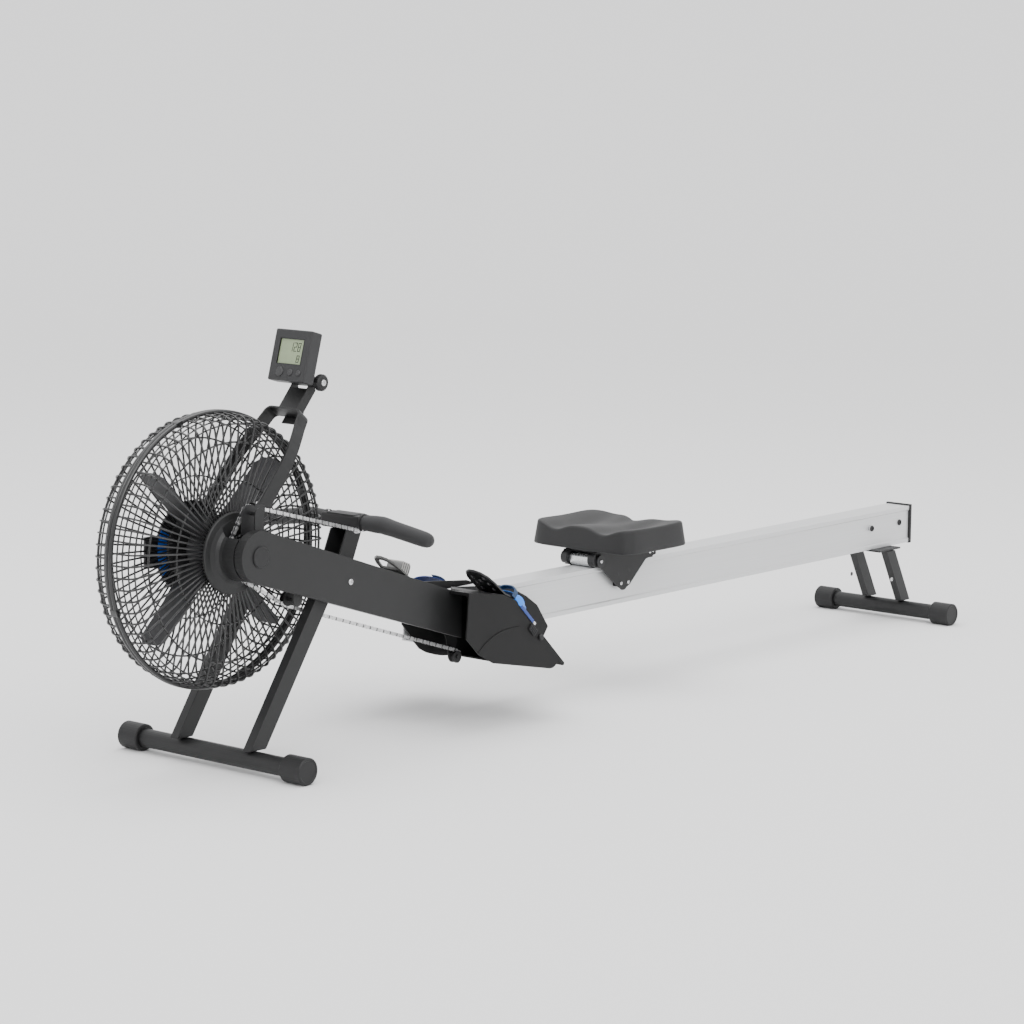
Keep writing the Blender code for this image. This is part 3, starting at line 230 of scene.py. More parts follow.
class Shape:
    """Gathers points and faces of one piece, then makes its object."""

    def __init__(self):
        self.points, self.faces = [], []

    def add(self, points, faces, place=None):
        base = len(self.points)
        self.points += [(place @ Vector(p)) if place else Vector(p) for p in points]
        self.faces += [[base + i for i in face] for face in faces]

    def tube(self, path, radius, sides=8, closed=False, up=None):
        """A bar along a path; radius is one number or one for each point."""
        path = [Vector(p) for p in path]
        count = len(path)
        radii = radius if hasattr(radius, "__len__") else [radius] * count
        points, across = [], None
        for i, p in enumerate(path):
            before = path[i - 1] if (i or closed) else p
            after = path[(i + 1) % count] if (i < count - 1 or closed) else p
            along = (after - before).normalized()
            if across is None:
                helper = Vector(up) if up else Vector((0, 0, 1) if abs(along.z) < 0.9 else (1, 0, 0))
                across = along.cross(helper).normalized()
            across = (across - along * across.dot(along)).normalized()
            over = across.cross(along)
            for k in range(sides):
                a = 2 * pi * (k + 0.5) / sides
                points.append(p + (across * cos(a) + over * sin(a)) * radii[i])
        faces = []
        for i in range(count if closed else count - 1):
            j = (i + 1) % count
            for k in range(sides):
                n = (k + 1) % sides
                faces.append((i * sides + k, i * sides + n, j * sides + n, j * sides + k))
        if not closed:
            faces.append(list(range(sides))[::-1])
            faces.append([(count - 1) * sides + k for k in range(sides)])
        self.add(points, faces)

    def prism(self, outline, low, high, axis="Y", place=None):
        """Pushes an outline from low to high along the axis."""
        put = {
            "X": lambda a, b, t: (t, a, b),
            "Y": lambda a, b, t: (a, t, b),
            "Z": lambda a, b, t: (a, b, t),
        }[axis]
        count = len(outline)
        points = [put(a, b, low) for a, b in outline] + [put(a, b, high) for a, b in outline]
        sides = [(i, (i + 1) % count, (i + 1) % count + count, i + count) for i in range(count)]
        self.add(points, [*sides, list(range(count))[::-1], [i + count for i in range(count)]], place)

    def box(self, x, y, z, place=None, soft=0.0):
        """A block between (low, high) pairs; soft rounds its edges along Y."""
        if not soft:
            return self.prism([(x[0], z[0]), (x[1], z[0]), (x[1], z[1]), (x[0], z[1])], *y, place=place)
        s = min(soft, (x[1] - x[0]) / 2.2, (z[1] - z[0]) / 2.2)
        right, left, top, foot = x[1] - s, x[0] + s, z[1] - s, z[0] + s
        outline = []
        for cx, cz, start in ((right, foot, -90), (right, top, 0), (left, top, 90), (left, foot, 180)):
            outline += arc(cx, cz, s, start, start + 90, 3)
        self.prism(outline, *y, place=place)

    def turned(self, profile, centre, axis="Y", sides=32, place=None):
        """Turns (radius, along) points about the axis; radius 0 at both ends makes a solid."""
        points, rows = [], []
        for radius, along in profile:
            row = []
            for k in range(sides if radius > 1e-9 else 1):
                a, b = radius * cos(2 * pi * k / sides), radius * sin(2 * pi * k / sides)
                row.append(len(points))
                spot = {"Y": (a, along, b), "X": (along, a, b), "Z": (a, b, along)}[axis]
                points.append(Vector(spot) + Vector(centre))
            rows.append(row)
        solid = profile[0][0] < 1e-9 and profile[-1][0] < 1e-9
        faces = []
        for one, two in list(zip(rows, rows[1:])) + ([] if solid else [(rows[-1], rows[0])]):
            for k in range(sides):
                n = (k + 1) % sides
                corners = [one[k % len(one)], one[n % len(one)], two[n % len(two)], two[k % len(two)]]
                faces.append(list(dict.fromkeys(corners)))
        self.add(points, faces, place)

    def bolt(self, centre, radius, height, axis="Y", sign=-1, place=None, socket=True):
        """A domed screw head, with a round socket unless socket is off, standing off the plane through
        centre.
        """
        r, h = radius, height * sign
        dome = [(0, 0), (r, 0), (r, h * 0.45), (r * 0.92, h * 0.75), (r * 0.70, h * 0.96)]
        inner = [(r * 0.46, h), (r * 0.40, h * 0.45), (0, h * 0.45)] if socket else [(r * 0.3, h), (0, h)]
        self.turned(dome + inner, centre, axis, 18, place)

    def make(self, name, mats, body, slot=None, smooth=40, bevel=0.0):
        """The finished object, riding on the body; a piece that blend moves is given no body."""
        mesh = bpy.data.meshes.new(name)
        mesh.from_pydata([tuple(p) for p in self.points], [], self.faces)
        mesh.validate()
        obj = bpy.data.objects.new(name, mesh)
        bpy.context.scene.collection.objects.link(obj)
        for mat in mats if isinstance(mats, (list, tuple)) else [mats]:
            mesh.materials.append(mat)
        outward(mesh)
        mesh.shade_smooth()
        mesh.set_sharp_from_angle(angle=radians(smooth))
        if bevel:
            edge = obj.modifiers.new("soft_edges", "BEVEL")
            edge.width, edge.segments, edge.limit_method, edge.angle_limit = bevel, 2, "ANGLE", radians(35)
        if body:
            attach(obj, body)
        return obj


def outward(mesh):
    bm = bmesh.new()
    bm.from_mesh(mesh)
    bmesh.ops.recalc_face_normals(bm, faces=bm.faces)
    bm.to_mesh(mesh)
    bm.free()


def arc(cx, cz, radius, start, end, steps):
    angles = [radians(start + (end - start) * k / steps) for k in range(steps + 1)]
    return [(cx + radius * cos(a), cz + radius * sin(a)) for a in angles]


# ---------------------------------------------------------------- fan cage


def bezier(a, b, c, steps):
    return [tuple(p * (1 - t) ** 2 + 2 * q * t * (1 - t) + r * t * t for p, q, r in zip(a, b, c))
            for t in (k / steps for k in range(steps + 1))]  # fmt: skip


def circle(centre, radius, y, count):
    """Points round the fan's axis, moved y along it from the centre."""
    angles = [2 * pi * k / count for k in range(count)]
    return [centre + Vector((radius * cos(a), y, radius * sin(a))) for a in angles]


def cage():
    """Two halves of round wires, their rings and hub plates, and the clamp ring between them."""
    axle = at(0, 0, AXLE_Z)
    profile = [(0.0560, 0.0500), (0.100, 0.0502), (0.150, 0.0508), (0.190, 0.0513), (0.220, 0.0515)]
    profile += bezier((0.2370, 0.0512), (0.2565, 0.0500), (0.2575, 0.0270), 6)
    profile += [(0.2590, 0.0110), (0.2598, 0.0070)]
    rings = [  # radius, depth and wire radius
        (0.2080, 0.0485, 0.0020), (0.1360, 0.0478, 0.0016), (0.2420, 0.0480, 0.0017),
        (0.2510, 0.0410, 0.0017), (0.2548, 0.0285, 0.0017), (0.2563, 0.0160, 0.0017),
    ]  # fmt: skip
    plate = [
        (0.0480, 0.0485), (0.0655, 0.0485), (0.0665, 0.0495),
        (0.0665, 0.0515), (0.0650, 0.0525), (0.0480, 0.0525),
    ]  # fmt: skip
    hub_disc = [(0.0100, 0.0490), (0.0485, 0.0490), (0.0485, 0.0505), (0.0100, 0.0505)]
    for name, sign, phase, node in (("left", -1, 0.0, "guard_left"), ("right", 1, 2.5, "guard_right")):
        shape = Shape()
        for k in range(72):
            a = radians(5 * k + phase)
            wire = [axle + Vector((r * cos(a), sign * y, r * sin(a))) for r, y in profile]
            shape.tube(wire, 0.0020, 6, up=(0, 1, 0))
        for radius, depth, thick in rings:
            shape.tube(circle(axle, radius, sign * depth, 120), thick, 6, closed=True)
        shape.turned([(r, sign * y) for r, y in plate], axle, sides=64)
        if sign > 0:
            shape.turned(hub_disc, axle, sides=48)
        obj = shape.make(f"cage_{name}", WIRE, "frame", "gloss_black_wire", smooth=60)
        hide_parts(node)
    shape = Shape()
    for y in (-0.0042, 0.0042):
        shape.tube(circle(axle, 0.2612, y, 144), 0.0044, 10, closed=True)
    for angle in (20, 110, 200, 290):
        place = Matrix.Translation(axle) @ Matrix.Rotation(radians(-angle), 4, "Y")
        shape.box((0.2560, 0.2657), (-0.0086, 0.0086), (-0.0075, 0.0075), place, soft=0.002)
    obj = shape.make("cage_clamp_ring", WIRE, "frame", "gloss_black_wire", smooth=60)
    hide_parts("guard_ring")


def damper():
    """Blue scale of the air damper on the far side, over a dark ring, with a dark plate behind it."""
    axle = at(0, 0, AXLE_Z)
    shape = Shape()
    outline = arc(axle.x, axle.z, 0.0880, 150, 214, 24) + arc(axle.x, axle.z, 0.0520, 214, 150, 24)
    shape.prism(outline, 0.0522, 0.0538)
    shape.make("damper_scale", BLUE, "damper", "blue_plastic")
    plate = Shape()
    plate.turned([(0.0460, 0.0594), (0.0875, 0.0594), (0.0880, 0.0606), (0.0460, 0.0606)], axle, sides=64)
    plate.make("damper_back_plate", DARK, "frame", "black_plastic")


# ---------------------------------------------------------------- chain


def tangent(c1, r1, c2, r2, side):
    """Angle of the normal of the straight run between two circles, in degrees."""
    dx, dz = c2[0] - c1[0], c2[1] - c1[1]
    return degrees(atan2(dz, dx) + side * acos((r1 - r2) / hypot(dx, dz)))


def chain_line():
    """Middle line of the chain's fixed stretch, guide roller to return pulley, as (x, z)."""
    sprocket = (0, AXLE_Z)
    up = tangent(sprocket, SPROCKET_WRAP, GUIDE, SMALL_WRAP, 1)
    down = tangent(sprocket, SPROCKET_WRAP, IDLER, SMALL_WRAP, -1)
    low = tangent(IDLER, SMALL_WRAP, PULLEY, -PULLEY_WRAP, -1)
    line = arc(*GUIDE, SMALL_WRAP, 92, up, 8) + arc(*sprocket, SPROCKET_WRAP, up, down + 360, 40)
    return line + arc(*IDLER, SMALL_WRAP, down, low, 5) + arc(*PULLEY, PULLEY_WRAP, low + 180, -80, 16)


def resampled(line, pitch):
    """Points one pitch apart along a line."""
    line = np.array(line, float)
    steps = np.r_[0, np.cumsum(np.hypot(*np.diff(line, axis=0).T))]
    places = np.arange(0, steps[-1], pitch)
    return np.c_[np.interp(places, steps, line[:, 0]), np.interp(places, steps, line[:, 1])]


def link(shape, a, b, outer):
    """One chain link between two pins at (x, z) places: two waisted plates, and the pin's roller."""
    a, b = np.array(a), np.array(b)
    along = (b - a) / max(1e-9, np.hypot(*(b - a)))
    over = np.array((-along[1], along[0]))
    middle = (a + b) / 2
    half, tall = np.hypot(*(b - a)) / 2, 0.0038 if outer else 0.0030
    outline = []
    for sx, start in ((1, -90), (-1, 90)):
        for t in (0, 36, 72, 108, 144, 180):
            t = radians(start + t)
            outline.append((sx * half + tall * cos(t), tall * sin(t)))
        outline.append((0.0, sx * tall * 0.66))
    outline = [tuple(middle + along * u + over * v) for u, v in outline]
    inside, outside = (0.00235, 0.00315) if outer else (0.00135, 0.00215)
    for sign in (-1, 1):
        low, high = sorted((CHAIN_Y + sign * inside, CHAIN_Y + sign * outside))
        shape.prism([(x + MX, z) for x, z in outline], low, high)
    reach = 0.0036 if outer else 0.0013
    radius = 0.0011 if outer else 0.0026
    for pin in (a, b) if outer else (a,):
        angles = [2 * pi * k / 8 for k in range(8)]
        ring = [(pin[0] + MX + radius * cos(a), pin[1] + radius * sin(a)) for a in angles]
        shape.prism(ring, CHAIN_Y - reach, CHAIN_Y + reach)


# The stretch inside the guide sleeve where the blend opens the folded links, and the handle's travel
ZONE_X, ZONE_LENGTH, PULL = 0.0285, 0.0220, 1.25


def pull_line(x):
    """Height of the pull run's middle line at x, between the guide roller and the handle."""
    start_x, start_z = GUIDE[0] + 0.001, GUIDE[1] + SMALL_WRAP
    share = (x - start_x) / (HOOK[0] - start_x)
    return start_z + (HOOK[2] + 0.004 - start_z) * share


def fixed_chain():
    """Links that stay on the frame, from the guide sleeve to the return pulley."""
    outer, inner = Shape(), Shape()
    lead = []
    x = GUIDE[0] + 0.003
    while x < ZONE_X:
        lead.append((x, pull_line(x)))
        x += CHAIN_PITCH
    pins = lead[::-1] + [tuple(p) for p in resampled(chain_line(), CHAIN_PITCH)]
    for i, (a, b) in enumerate(zip(pins, pins[1:])):
        link(outer if i % 2 else inner, a, b, i % 2)
    obj = outer.make("chain_fixed_links", CHAIN, "frame", "bright_steel", smooth=40)
    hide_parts("chain_return_run")
    inner.make("chain_fixed_inner", CHAIN_DARK, "frame", "bright_steel", smooth=40)


def pull_chain():
    """Links between the guide and the handle, made at full reach and drawn back to rest.

    Those that pass the guide as the handle moves are folded inside the guide sleeve at rest.
    """
    runs = (Shape(), Shape())
    reach = HOOK[0] - ZONE_X + PULL
    for i in range(int(reach / CHAIN_PITCH)):
        a = (i + 0.5) * CHAIN_PITCH
        link(runs[i % 2], (a, 0.0), (a + CHAIN_PITCH, 0.0), i % 2)
    t = np.linspace(0, 1, 4001)
    opened = t * ZONE_LENGTH + t * t * (3 - 2 * t) * PULL
    slope_y = (HOOK[1] - CHAIN_Y) / (HOOK[0] - ZONE_X)
    for p in runs[0].points + runs[1].points:
        u = p.x - MX
        if u <= 0:
            x = ZONE_X + u
        elif u < ZONE_LENGTH + PULL:
            x = ZONE_X + np.interp(u, opened, t) * ZONE_LENGTH
        else:
            x = ZONE_X + u - PULL
        p.z += pull_line(x)
        p.y += slope_y * (x - ZONE_X)
        p.x = x + MX
    for run, name, mat in ((runs[0], "chain_pull_inner", CHAIN_DARK), (runs[1], "chain_pull_links", CHAIN)):
        obj = run.make(name, mat, None, "bright_steel", smooth=40)
        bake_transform(obj)
    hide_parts("chain_pull_run")


def chain_guide():
    """Sleeve round the folded links, and the plate that hides the chain's climb to the guide."""
    sleeve = Shape()
    near, far = ZONE_X - 0.0035, ZONE_X + ZONE_LENGTH + 0.0015
    for y in (-0.0075, 0.0060):
        outline = [(x + MX, pull_line(x) - 0.0070) for x in (near, far)]
        outline += [(x + MX, pull_line(x) + 0.0070) for x in (far, near)]
        sleeve.prism(outline, CHAIN_Y + y, CHAIN_Y + y + 0.0015)
    for lift in (-0.0078, 0.0062):
        outline = [(x + MX, pull_line(x) + lift) for x in (near, far)]
        outline += [(x + MX, pull_line(x) + lift + 0.0016) for x in (far, near)]
        sleeve.prism(outline, CHAIN_Y - 0.0075, CHAIN_Y + 0.0075)
    sleeve.make("chain_guide_sleeve", DARK, "frame", "black_plastic", bevel=0.0006)

    shroud = Shape()
    outline = [
        (-0.0125, 0.4570), (0.0230, 0.4540), (0.0265, 0.5060),
        (0.0180, 0.5120), (0.0020, 0.5120), (-0.0110, 0.5020),
    ]  # fmt: skip
    shroud.prism([(x + MX, z) for x, z in outline], CHAIN_Y - 0.0086, CHAIN_Y - 0.0072)
    shroud.make("chain_shroud", DARK, "frame", "black_plastic", bevel=0.0005)


def chain_hook():
    """Open wire loop that ties the chain's last link to the handle."""
    hook = Shape()
    tip = at(HOOK[0] + 0.004, HOOK[1], HOOK[2] + 0.003)
    angles = np.linspace(0.6, 5.68, 11)
    hook.tube([tip + Vector((0.012 * cos(a), 0, 0.005 * sin(a))) for a in angles], 0.0016, 8)
    hook.make("chain_hook", STEEL, "handle", "bright_steel")


# ---------------------------------------------------------------- seat


def on_rail():
    """Matrix from the rail's own frame, x along it from RAIL_REF and z up from its top."""
    return Matrix.Translation(at(RAIL_REF[0], 0, RAIL_REF[1])) @ Matrix.Rotation(-RAIL_SLOPE, 4, "Y")


def rail_x(x):
    return x - RAIL_REF[0]


def seat_plan():
    """Outline of the pad in plan, in shares of its size: along 0 to 1 front to rear, across -1 to 1."""
    half = [
        (0.002, 0.0), (0.004, 0.50), (0.026, 0.80), (0.085, 0.945), (0.19, 0.992), (0.47, 1.0),
        (0.77, 0.998), (0.905, 0.95), (0.970, 0.80), (1.0, 0.50), (0.962, 0.20), (0.915, 0.0),
    ]  # fmt: skip
    return half + [(a, -b) for a, b in half[-2:0:-1]]


def closed_curve(points, per):
    """Catmull-Rom through a closed loop of points."""
    out, n = [], len(points)
    points = [np.array(p, float) for p in points]
    for i in range(n):
        p0, p1, p2, p3 = (points[(i + k) % n] for k in (-1, 0, 1, 2))
        for k in range(per):
            t = k / per
            square = 2 * p0 - 5 * p1 + 4 * p2 - p3
            cube = 3 * p1 - p0 - 3 * p2 + p3
            out.append(0.5 * (2 * p1 + (p2 - p0) * t + square * t * t + cube * t**3))
    return out


def seat_height(a, v):
    """How far the pad's top lies under its highest level; a runs front to rear, v across."""
    well = 0.0155 * exp(-((abs(v) - 0.47) / 0.235) ** 2)
    well *= 1.0 - 0.55 * max(0.0, min(1.0, (a - 0.15) / 0.75))
    middle = 0.0105 * exp(-((a - 0.52) / 0.30) ** 2) * max(0.0, 1 - abs(v) ** 2.4)
    ridge = 0.0020 * exp(-(v / 0.16) ** 2) * max(0.0, 1 - a)
    notch = 0.0125 * exp(-(v / 0.22) ** 2) * max(0.0, (a - 0.45) / 0.55) ** 1.2
    well = max(well * (1 - 0.3 * max(0.0, a - 0.6)), 0.0) * 0.93
    middle *= 1 - 0.55 * exp(-((v / 0.2) ** 2)) * (a < 0.5) * (0.5 - a) * 2
    return well + middle + ridge + notch


def seat():
    """Moulded pad: loops of its outline, from the flat underside up the sides and in over the top."""
    front, rear, half = 1.095, 1.330, 0.141
    bottom, top = 0.0393, 0.0922
    plan = closed_curve(seat_plan(), 8)
    place = on_rail()
    shape = Shape()
    rows = []

    def row(inset, height):
        """One loop of points: the plan pulled in by inset metres, at a height or following the top."""
        loop = []
        for a, v in plan:
            x, y = front + a * (rear - front), v * half
            cx, cy = (front + rear) / 2, 0.0
            r = hypot(x - cx, y - cy)
            k = max(0.0, (r - inset) / r)
            x, y = cx + (x - cx) * k, cy + (y - cy) * k
            aa, vv = (x - front) / (rear - front), y / half
            z = height(aa, vv)
            loop.append(place @ Vector((rail_x(x), y, z)))
        rows.append(loop)

    def surface(a, v):
        return top - seat_height(max(0.0, min(1.0, a)), max(-1.0, min(1.0, v)))

    row(0.010, lambda a, v: bottom)
    row(0.0035, lambda a, v: bottom)
    row(0.0008, lambda a, v: bottom + 0.0008)
    row(0.0, lambda a, v: bottom + 0.0030)
    for share, inset in ((0.25, 0.0018), (0.5, 0.0036), (0.75, 0.0054)):
        row(inset, lambda a, v, s=share: bottom + 0.003 + (surface(a, v) - 0.0065 - bottom - 0.003) * s)
    row(0.0070, lambda a, v: surface(a, v) - 0.0065)
    row(0.0077, lambda a, v: surface(a, v) - 0.0036)
    row(0.0093, lambda a, v: surface(a, v) - 0.0015)
    row(0.0120, lambda a, v: surface(a, v) - 0.0003)
    insets = [
        0.0155, 0.020, 0.026, 0.033, 0.041, 0.050, 0.060, 0.071, 0.083, 0.096, 0.108, 0.119, 0.130, 0.139,
    ]  # fmt: skip
    for inset in insets:
        row(inset, surface)
    count = len(plan)
    points = [p for r in rows for p in r]
    faces = []
    for i in range(len(rows) - 1):
        for k in range(count):
            n = (k + 1) % count
            faces.append((i * count + k, i * count + n, (i + 1) * count + n, (i + 1) * count + k))
    points.append(place @ Vector((rail_x((front + rear) / 2), 0, surface(0.5, 0))))
    last = (len(rows) - 1) * count
    faces += [(last + k, last + (k + 1) % count, len(points) - 1) for k in range(count)]
    points.append(place @ Vector((rail_x((front + rear) / 2), 0, bottom)))
    faces += [((k + 1) % count, k, len(points) - 1) for k in range(count)]
    shape.add(points, faces)
    cushion = shape.make("seat_cushion", SEAT, "seat", "seat_foam", smooth=70)
    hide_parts("seat_pad")


def carriage():
    """Bolts, pressed slots and roller cheeks on both sides of the carriage; heights from the rail's top."""
    place = on_rail()
    bolt_spots = [  # x, height and radius
        (1.1965, -0.0420, 0.0042), (1.2215, -0.0420, 0.0042),
        (1.1215, 0.0165, 0.0042), (1.3080, 0.0165, 0.0036),
    ]  # fmt: skip
    slot_spots = [  # x, height, tilt and half length
        (1.187, -0.0205, 0.0, 0.0030), (1.2235, -0.0155, -0.7, 0.0058), (1.2790, 0.0150, 0.1, 0.0042),
    ]  # fmt: skip
    ear_x, ear_z, ear_thick = 1.122, 0.0155, 0.0042
    bolts, slots = Shape(), Shape()
    for sign in (-1, 1):
        y = sign * 0.0446
        for x, z, r in bolt_spots:
            bolts.bolt(place @ Vector((rail_x(x), y, z)), r, 0.0026, sign=sign)
        low, high = sorted((y, y + sign * 0.0003))
        for x, z, tilt, long in slot_spots:
            turn = Matrix.Translation(Vector((rail_x(x), 0, z))) @ Matrix.Rotation(tilt, 4, "Y")
            slots.box((-0.0024, 0.0024), (low, high), (-long, long), place @ turn, soft=0.0022)
        ear = [(rail_x(ear_x) + p, q) for p, q in arc(0, ear_z, 0.0135, 0, 360, 20)[:-1]]
        low, high = sorted((y, y + sign * ear_thick))
        slots.prism(ear, low, high, place=place)
        bolts.bolt(place @ Vector((rail_x(ear_x), y + sign * ear_thick, ear_z)), 0.0042, 0.0022, sign=sign)
        low, high = sorted((sign * 0.0292, sign * 0.0445))
        cheek = arc(rail_x(1.112), 0.0185, 0.0145, 90, 270, 10)
        cheek += [(rail_x(1.124), 0.0040), (rail_x(1.124), 0.0330)]
        slots.prism(cheek, low, high, place=place)
    bolts.make("carriage_bolts", STEEL, "seat", "bright_steel")
    slots.make("carriage_cheeks", DARK, "seat", "black_plastic", bevel=0.0007)


def rail_bolts():
    """Two dark bolt heads on each side of the rail, over the rear legs."""
    place = on_rail()
    bolts = Shape()
    for sign in (-1, 1):
        for x, y in ((2.182, 0.0352), (2.309, 0.0300)):
            bolts.bolt(place @ Vector((rail_x(x), sign * y, -0.0365)), 0.0072, 0.0040, sign=sign)
    bolts.make("rail_bolts", DARK, "frame", "black_plastic")


# ---------------------------------------------------------------- handle


def handle():
    """Foam grips, bent down past the elbow, and the collars and top plate of the centre block."""
    elbow, drop, radius = 0.100, radians(8.5), 0.0162
    stations = [  # distance from the middle, and how far the radius there differs
        (0.0513, -0.0020), (0.056, -0.0006), (0.066, 0), (0.080, 0.0008), (0.090, 0.001), (0.096, 0.001),
        (0.100, 0.001), (0.104, 0.001), (0.110, 0.0008), (0.130, 0), (0.160, -0.0002), (0.190, -0.0004),
        (0.210, -0.0008), (0.219, -0.0020), (0.2245, -0.0044), (0.2280, -0.0076), (0.2300, -0.0118),
        (0.2305, -0.0150),
    ]  # fmt: skip
    for side, sign in (("left", -1), ("right", 1)):
        path = []
        for y, _ in stations:
            over = max(0.0, y - elbow)
            out = min(y, elbow) + over * cos(drop)
            path.append(at(HANDLE[0], sign * out, HANDLE[1] - over * sin(drop)))
        shape = Shape()
        shape.tube(path, [radius + extra for _, extra in stations], 24, up=(1, 0, 0))
        grip = shape.make(f"grip_foam_{side}", GRIP, "handle", "grip_foam", smooth=60)
        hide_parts(f"handle_grip_{side}")
    trim = Shape()
    for sign in (-1, 1):
        low, high = sorted((sign * 0.0440, sign * 0.0525))
        collar = [(0.0165, low), (0.0175, low + 0.0012), (0.0175, high - 0.0012), (0.0165, high)]
        trim.turned(collar, at(HANDLE[0], 0, HANDLE[1]), sides=24)
    low_x, high_x = HANDLE[0] - 0.0175 + MX, HANDLE[0] + 0.0175 + MX
    trim.box((low_x, high_x), (-0.036, 0.036), (HANDLE[1] + 0.0135, HANDLE[1] + 0.0152), soft=0.0008)
    trim.make("handle_trim", PLASTIC, "handle", "black_plastic", bevel=0.0008)


# ---------------------------------------------------------------- monitor

SEGMENTS = {"1": "bc", "2": "abged", "8": "abcdefg"}


def monitor():
    """Lip round the screen, generic digits on it, and the ribs and screw of the tilt knob."""
    face = at(MONITOR_FACE[0], 0, MONITOR_FACE[1])
    place = Matrix.Translation(face) @ Matrix.Rotation(MONITOR_LEAN, 4, "Y")
    lip = Shape()
    y0, y1, z0, z1 = -0.0310, 0.0310, -0.0165, 0.0320
    t = 0.0011
    bars = [
        ((y0 - t, y0), (z0 - t, z1 + t)), ((y1, y1 + t), (z0 - t, z1 + t)),
        ((y0, y1), (z0 - t, z0)), ((y0, y1), (z1, z1 + t)),
    ]  # fmt: skip
    for y, z in bars:
        lip.box((-0.0004, 0.0020), y, z, place)
    lip.make("screen_lip", DARK, "monitor", "black_plastic")

    digits = Shape()

    def digit(char, right, low, wide, tall):
        """One seven-segment figure; right is its right edge in y (towards -Y), low its foot."""
        bar = wide * 0.25
        slant = 0.08
        spots = {
            "a": (0, wide, tall - bar, tall), "g": (0, wide, (tall - bar) / 2, (tall + bar) / 2),
            "d": (0, wide, 0, bar), "f": (wide - bar, wide, tall / 2, tall),
            "e": (wide - bar, wide, 0, tall / 2), "b": (0, bar, tall / 2, tall), "c": (0, bar, 0, tall / 2),
        }  # fmt: skip
        for s in SEGMENTS[char]:
            u0, u1, v0, v1 = spots[s]
            e = bar * 0.16
            outline = []
            for u, v in ((u0 + e, v0 + e), (u1 - e, v0 + e), (u1 - e, v1 - e), (u0 + e, v1 - e)):
                outline.append((right + u - slant * v, low + v))
            digits.prism(outline, 0.00215, 0.00185, "X", place)

    rows = [("128", -0.0223, 0.0080, 0.0074, 0.0180), ("8", -0.0235, -0.0130, 0.0075, 0.0145)]
    for text, right, low, wide, tall in rows:
        for k, char in enumerate(reversed(text)):
            digit(char, right + k * wide * 1.32, low, wide, tall)
    digits.make("screen_digits", SEGMENT, "monitor", "lcd_glass")

    knob = Shape()
    centre = at(TILT[0], 0, TILT[1])
    for k in range(20):
        a = 2 * pi * k / 20
        rib = Matrix.Translation(centre) @ Matrix.Rotation(a, 4, "Y")
        knob.box((0.0150, 0.0164), (-0.0470, -0.0388), (-0.0011, 0.0011), rib)
    knob.make("tilt_knob_ribs", DARK, "knob", "black_plastic")
    screw = Shape()
    screw.bolt(centre + Vector((0, -0.0501, 0)), 0.0062, 0.0022)
    screw.make("tilt_knob_screw", STEEL, "knob", "bright_steel")


# ---------------------------------------------------------------- frame details


def frame_details():
    """Bolt heads on the frame, and the axle's nut on the far side."""
    steel = Shape()
    steel.bolt(at(0.2449, -0.1306, 0.3431), 0.0062, 0.0030)
    for x, y, z in ((2.2415, -0.0575, 0.1050), (2.2415, 0.0575, 0.1050)):
        steel.bolt(at(x, y, z), 0.0050, 0.0022, sign=-1 if y < 0 else 1)
    steel.make("frame_bolts", STEEL, "frame", "bright_steel")
    axle = at(0, 0, AXLE_Z)
    nut = [(0.0068, 0.1118), (0.0125, 0.1118), (0.0125, 0.1178), (0.0110, 0.1190), (0.0068, 0.1190)]
    end = [(0, 0.1112), (0.0068, 0.1112), (0.0068, 0.1215), (0.0058, 0.1225), (0, 0.1225)]
    hub = Shape()
    hub.turned(nut, axle, sides=6)
    hub.turned(end, axle, sides=20)
    hub.make("axle_nut_right", STEEL, "frame", "bright_steel")


# ---------------------------------------------------------------- feet


def on_incline():
    return Matrix.Translation(at(FOOT_MIDDLE[0], 0, FOOT_MIDDLE[1])) @ Matrix.Rotation(FOOT_SLOPE, 4, "Y")


def hump(low, high, rise, thick, steps=28):
    """Section of a strap over the foot, as an outline of (y, z)."""
    rows = []
    for inset in (0.0, thick):
        span, line = high - low - 2 * inset, []
        for k in range(steps + 1):
            a = pi * k / steps
            flat = abs(cos(a)) ** 0.75 * (1 if cos(a) > 0 else -1)
            line.append(((low + high) / 2 - flat * span / 2, 0.0008 + (rise - inset) * sin(a) ** 0.62))
        rows.append(line)
    return rows[0] + rows[1][::-1]


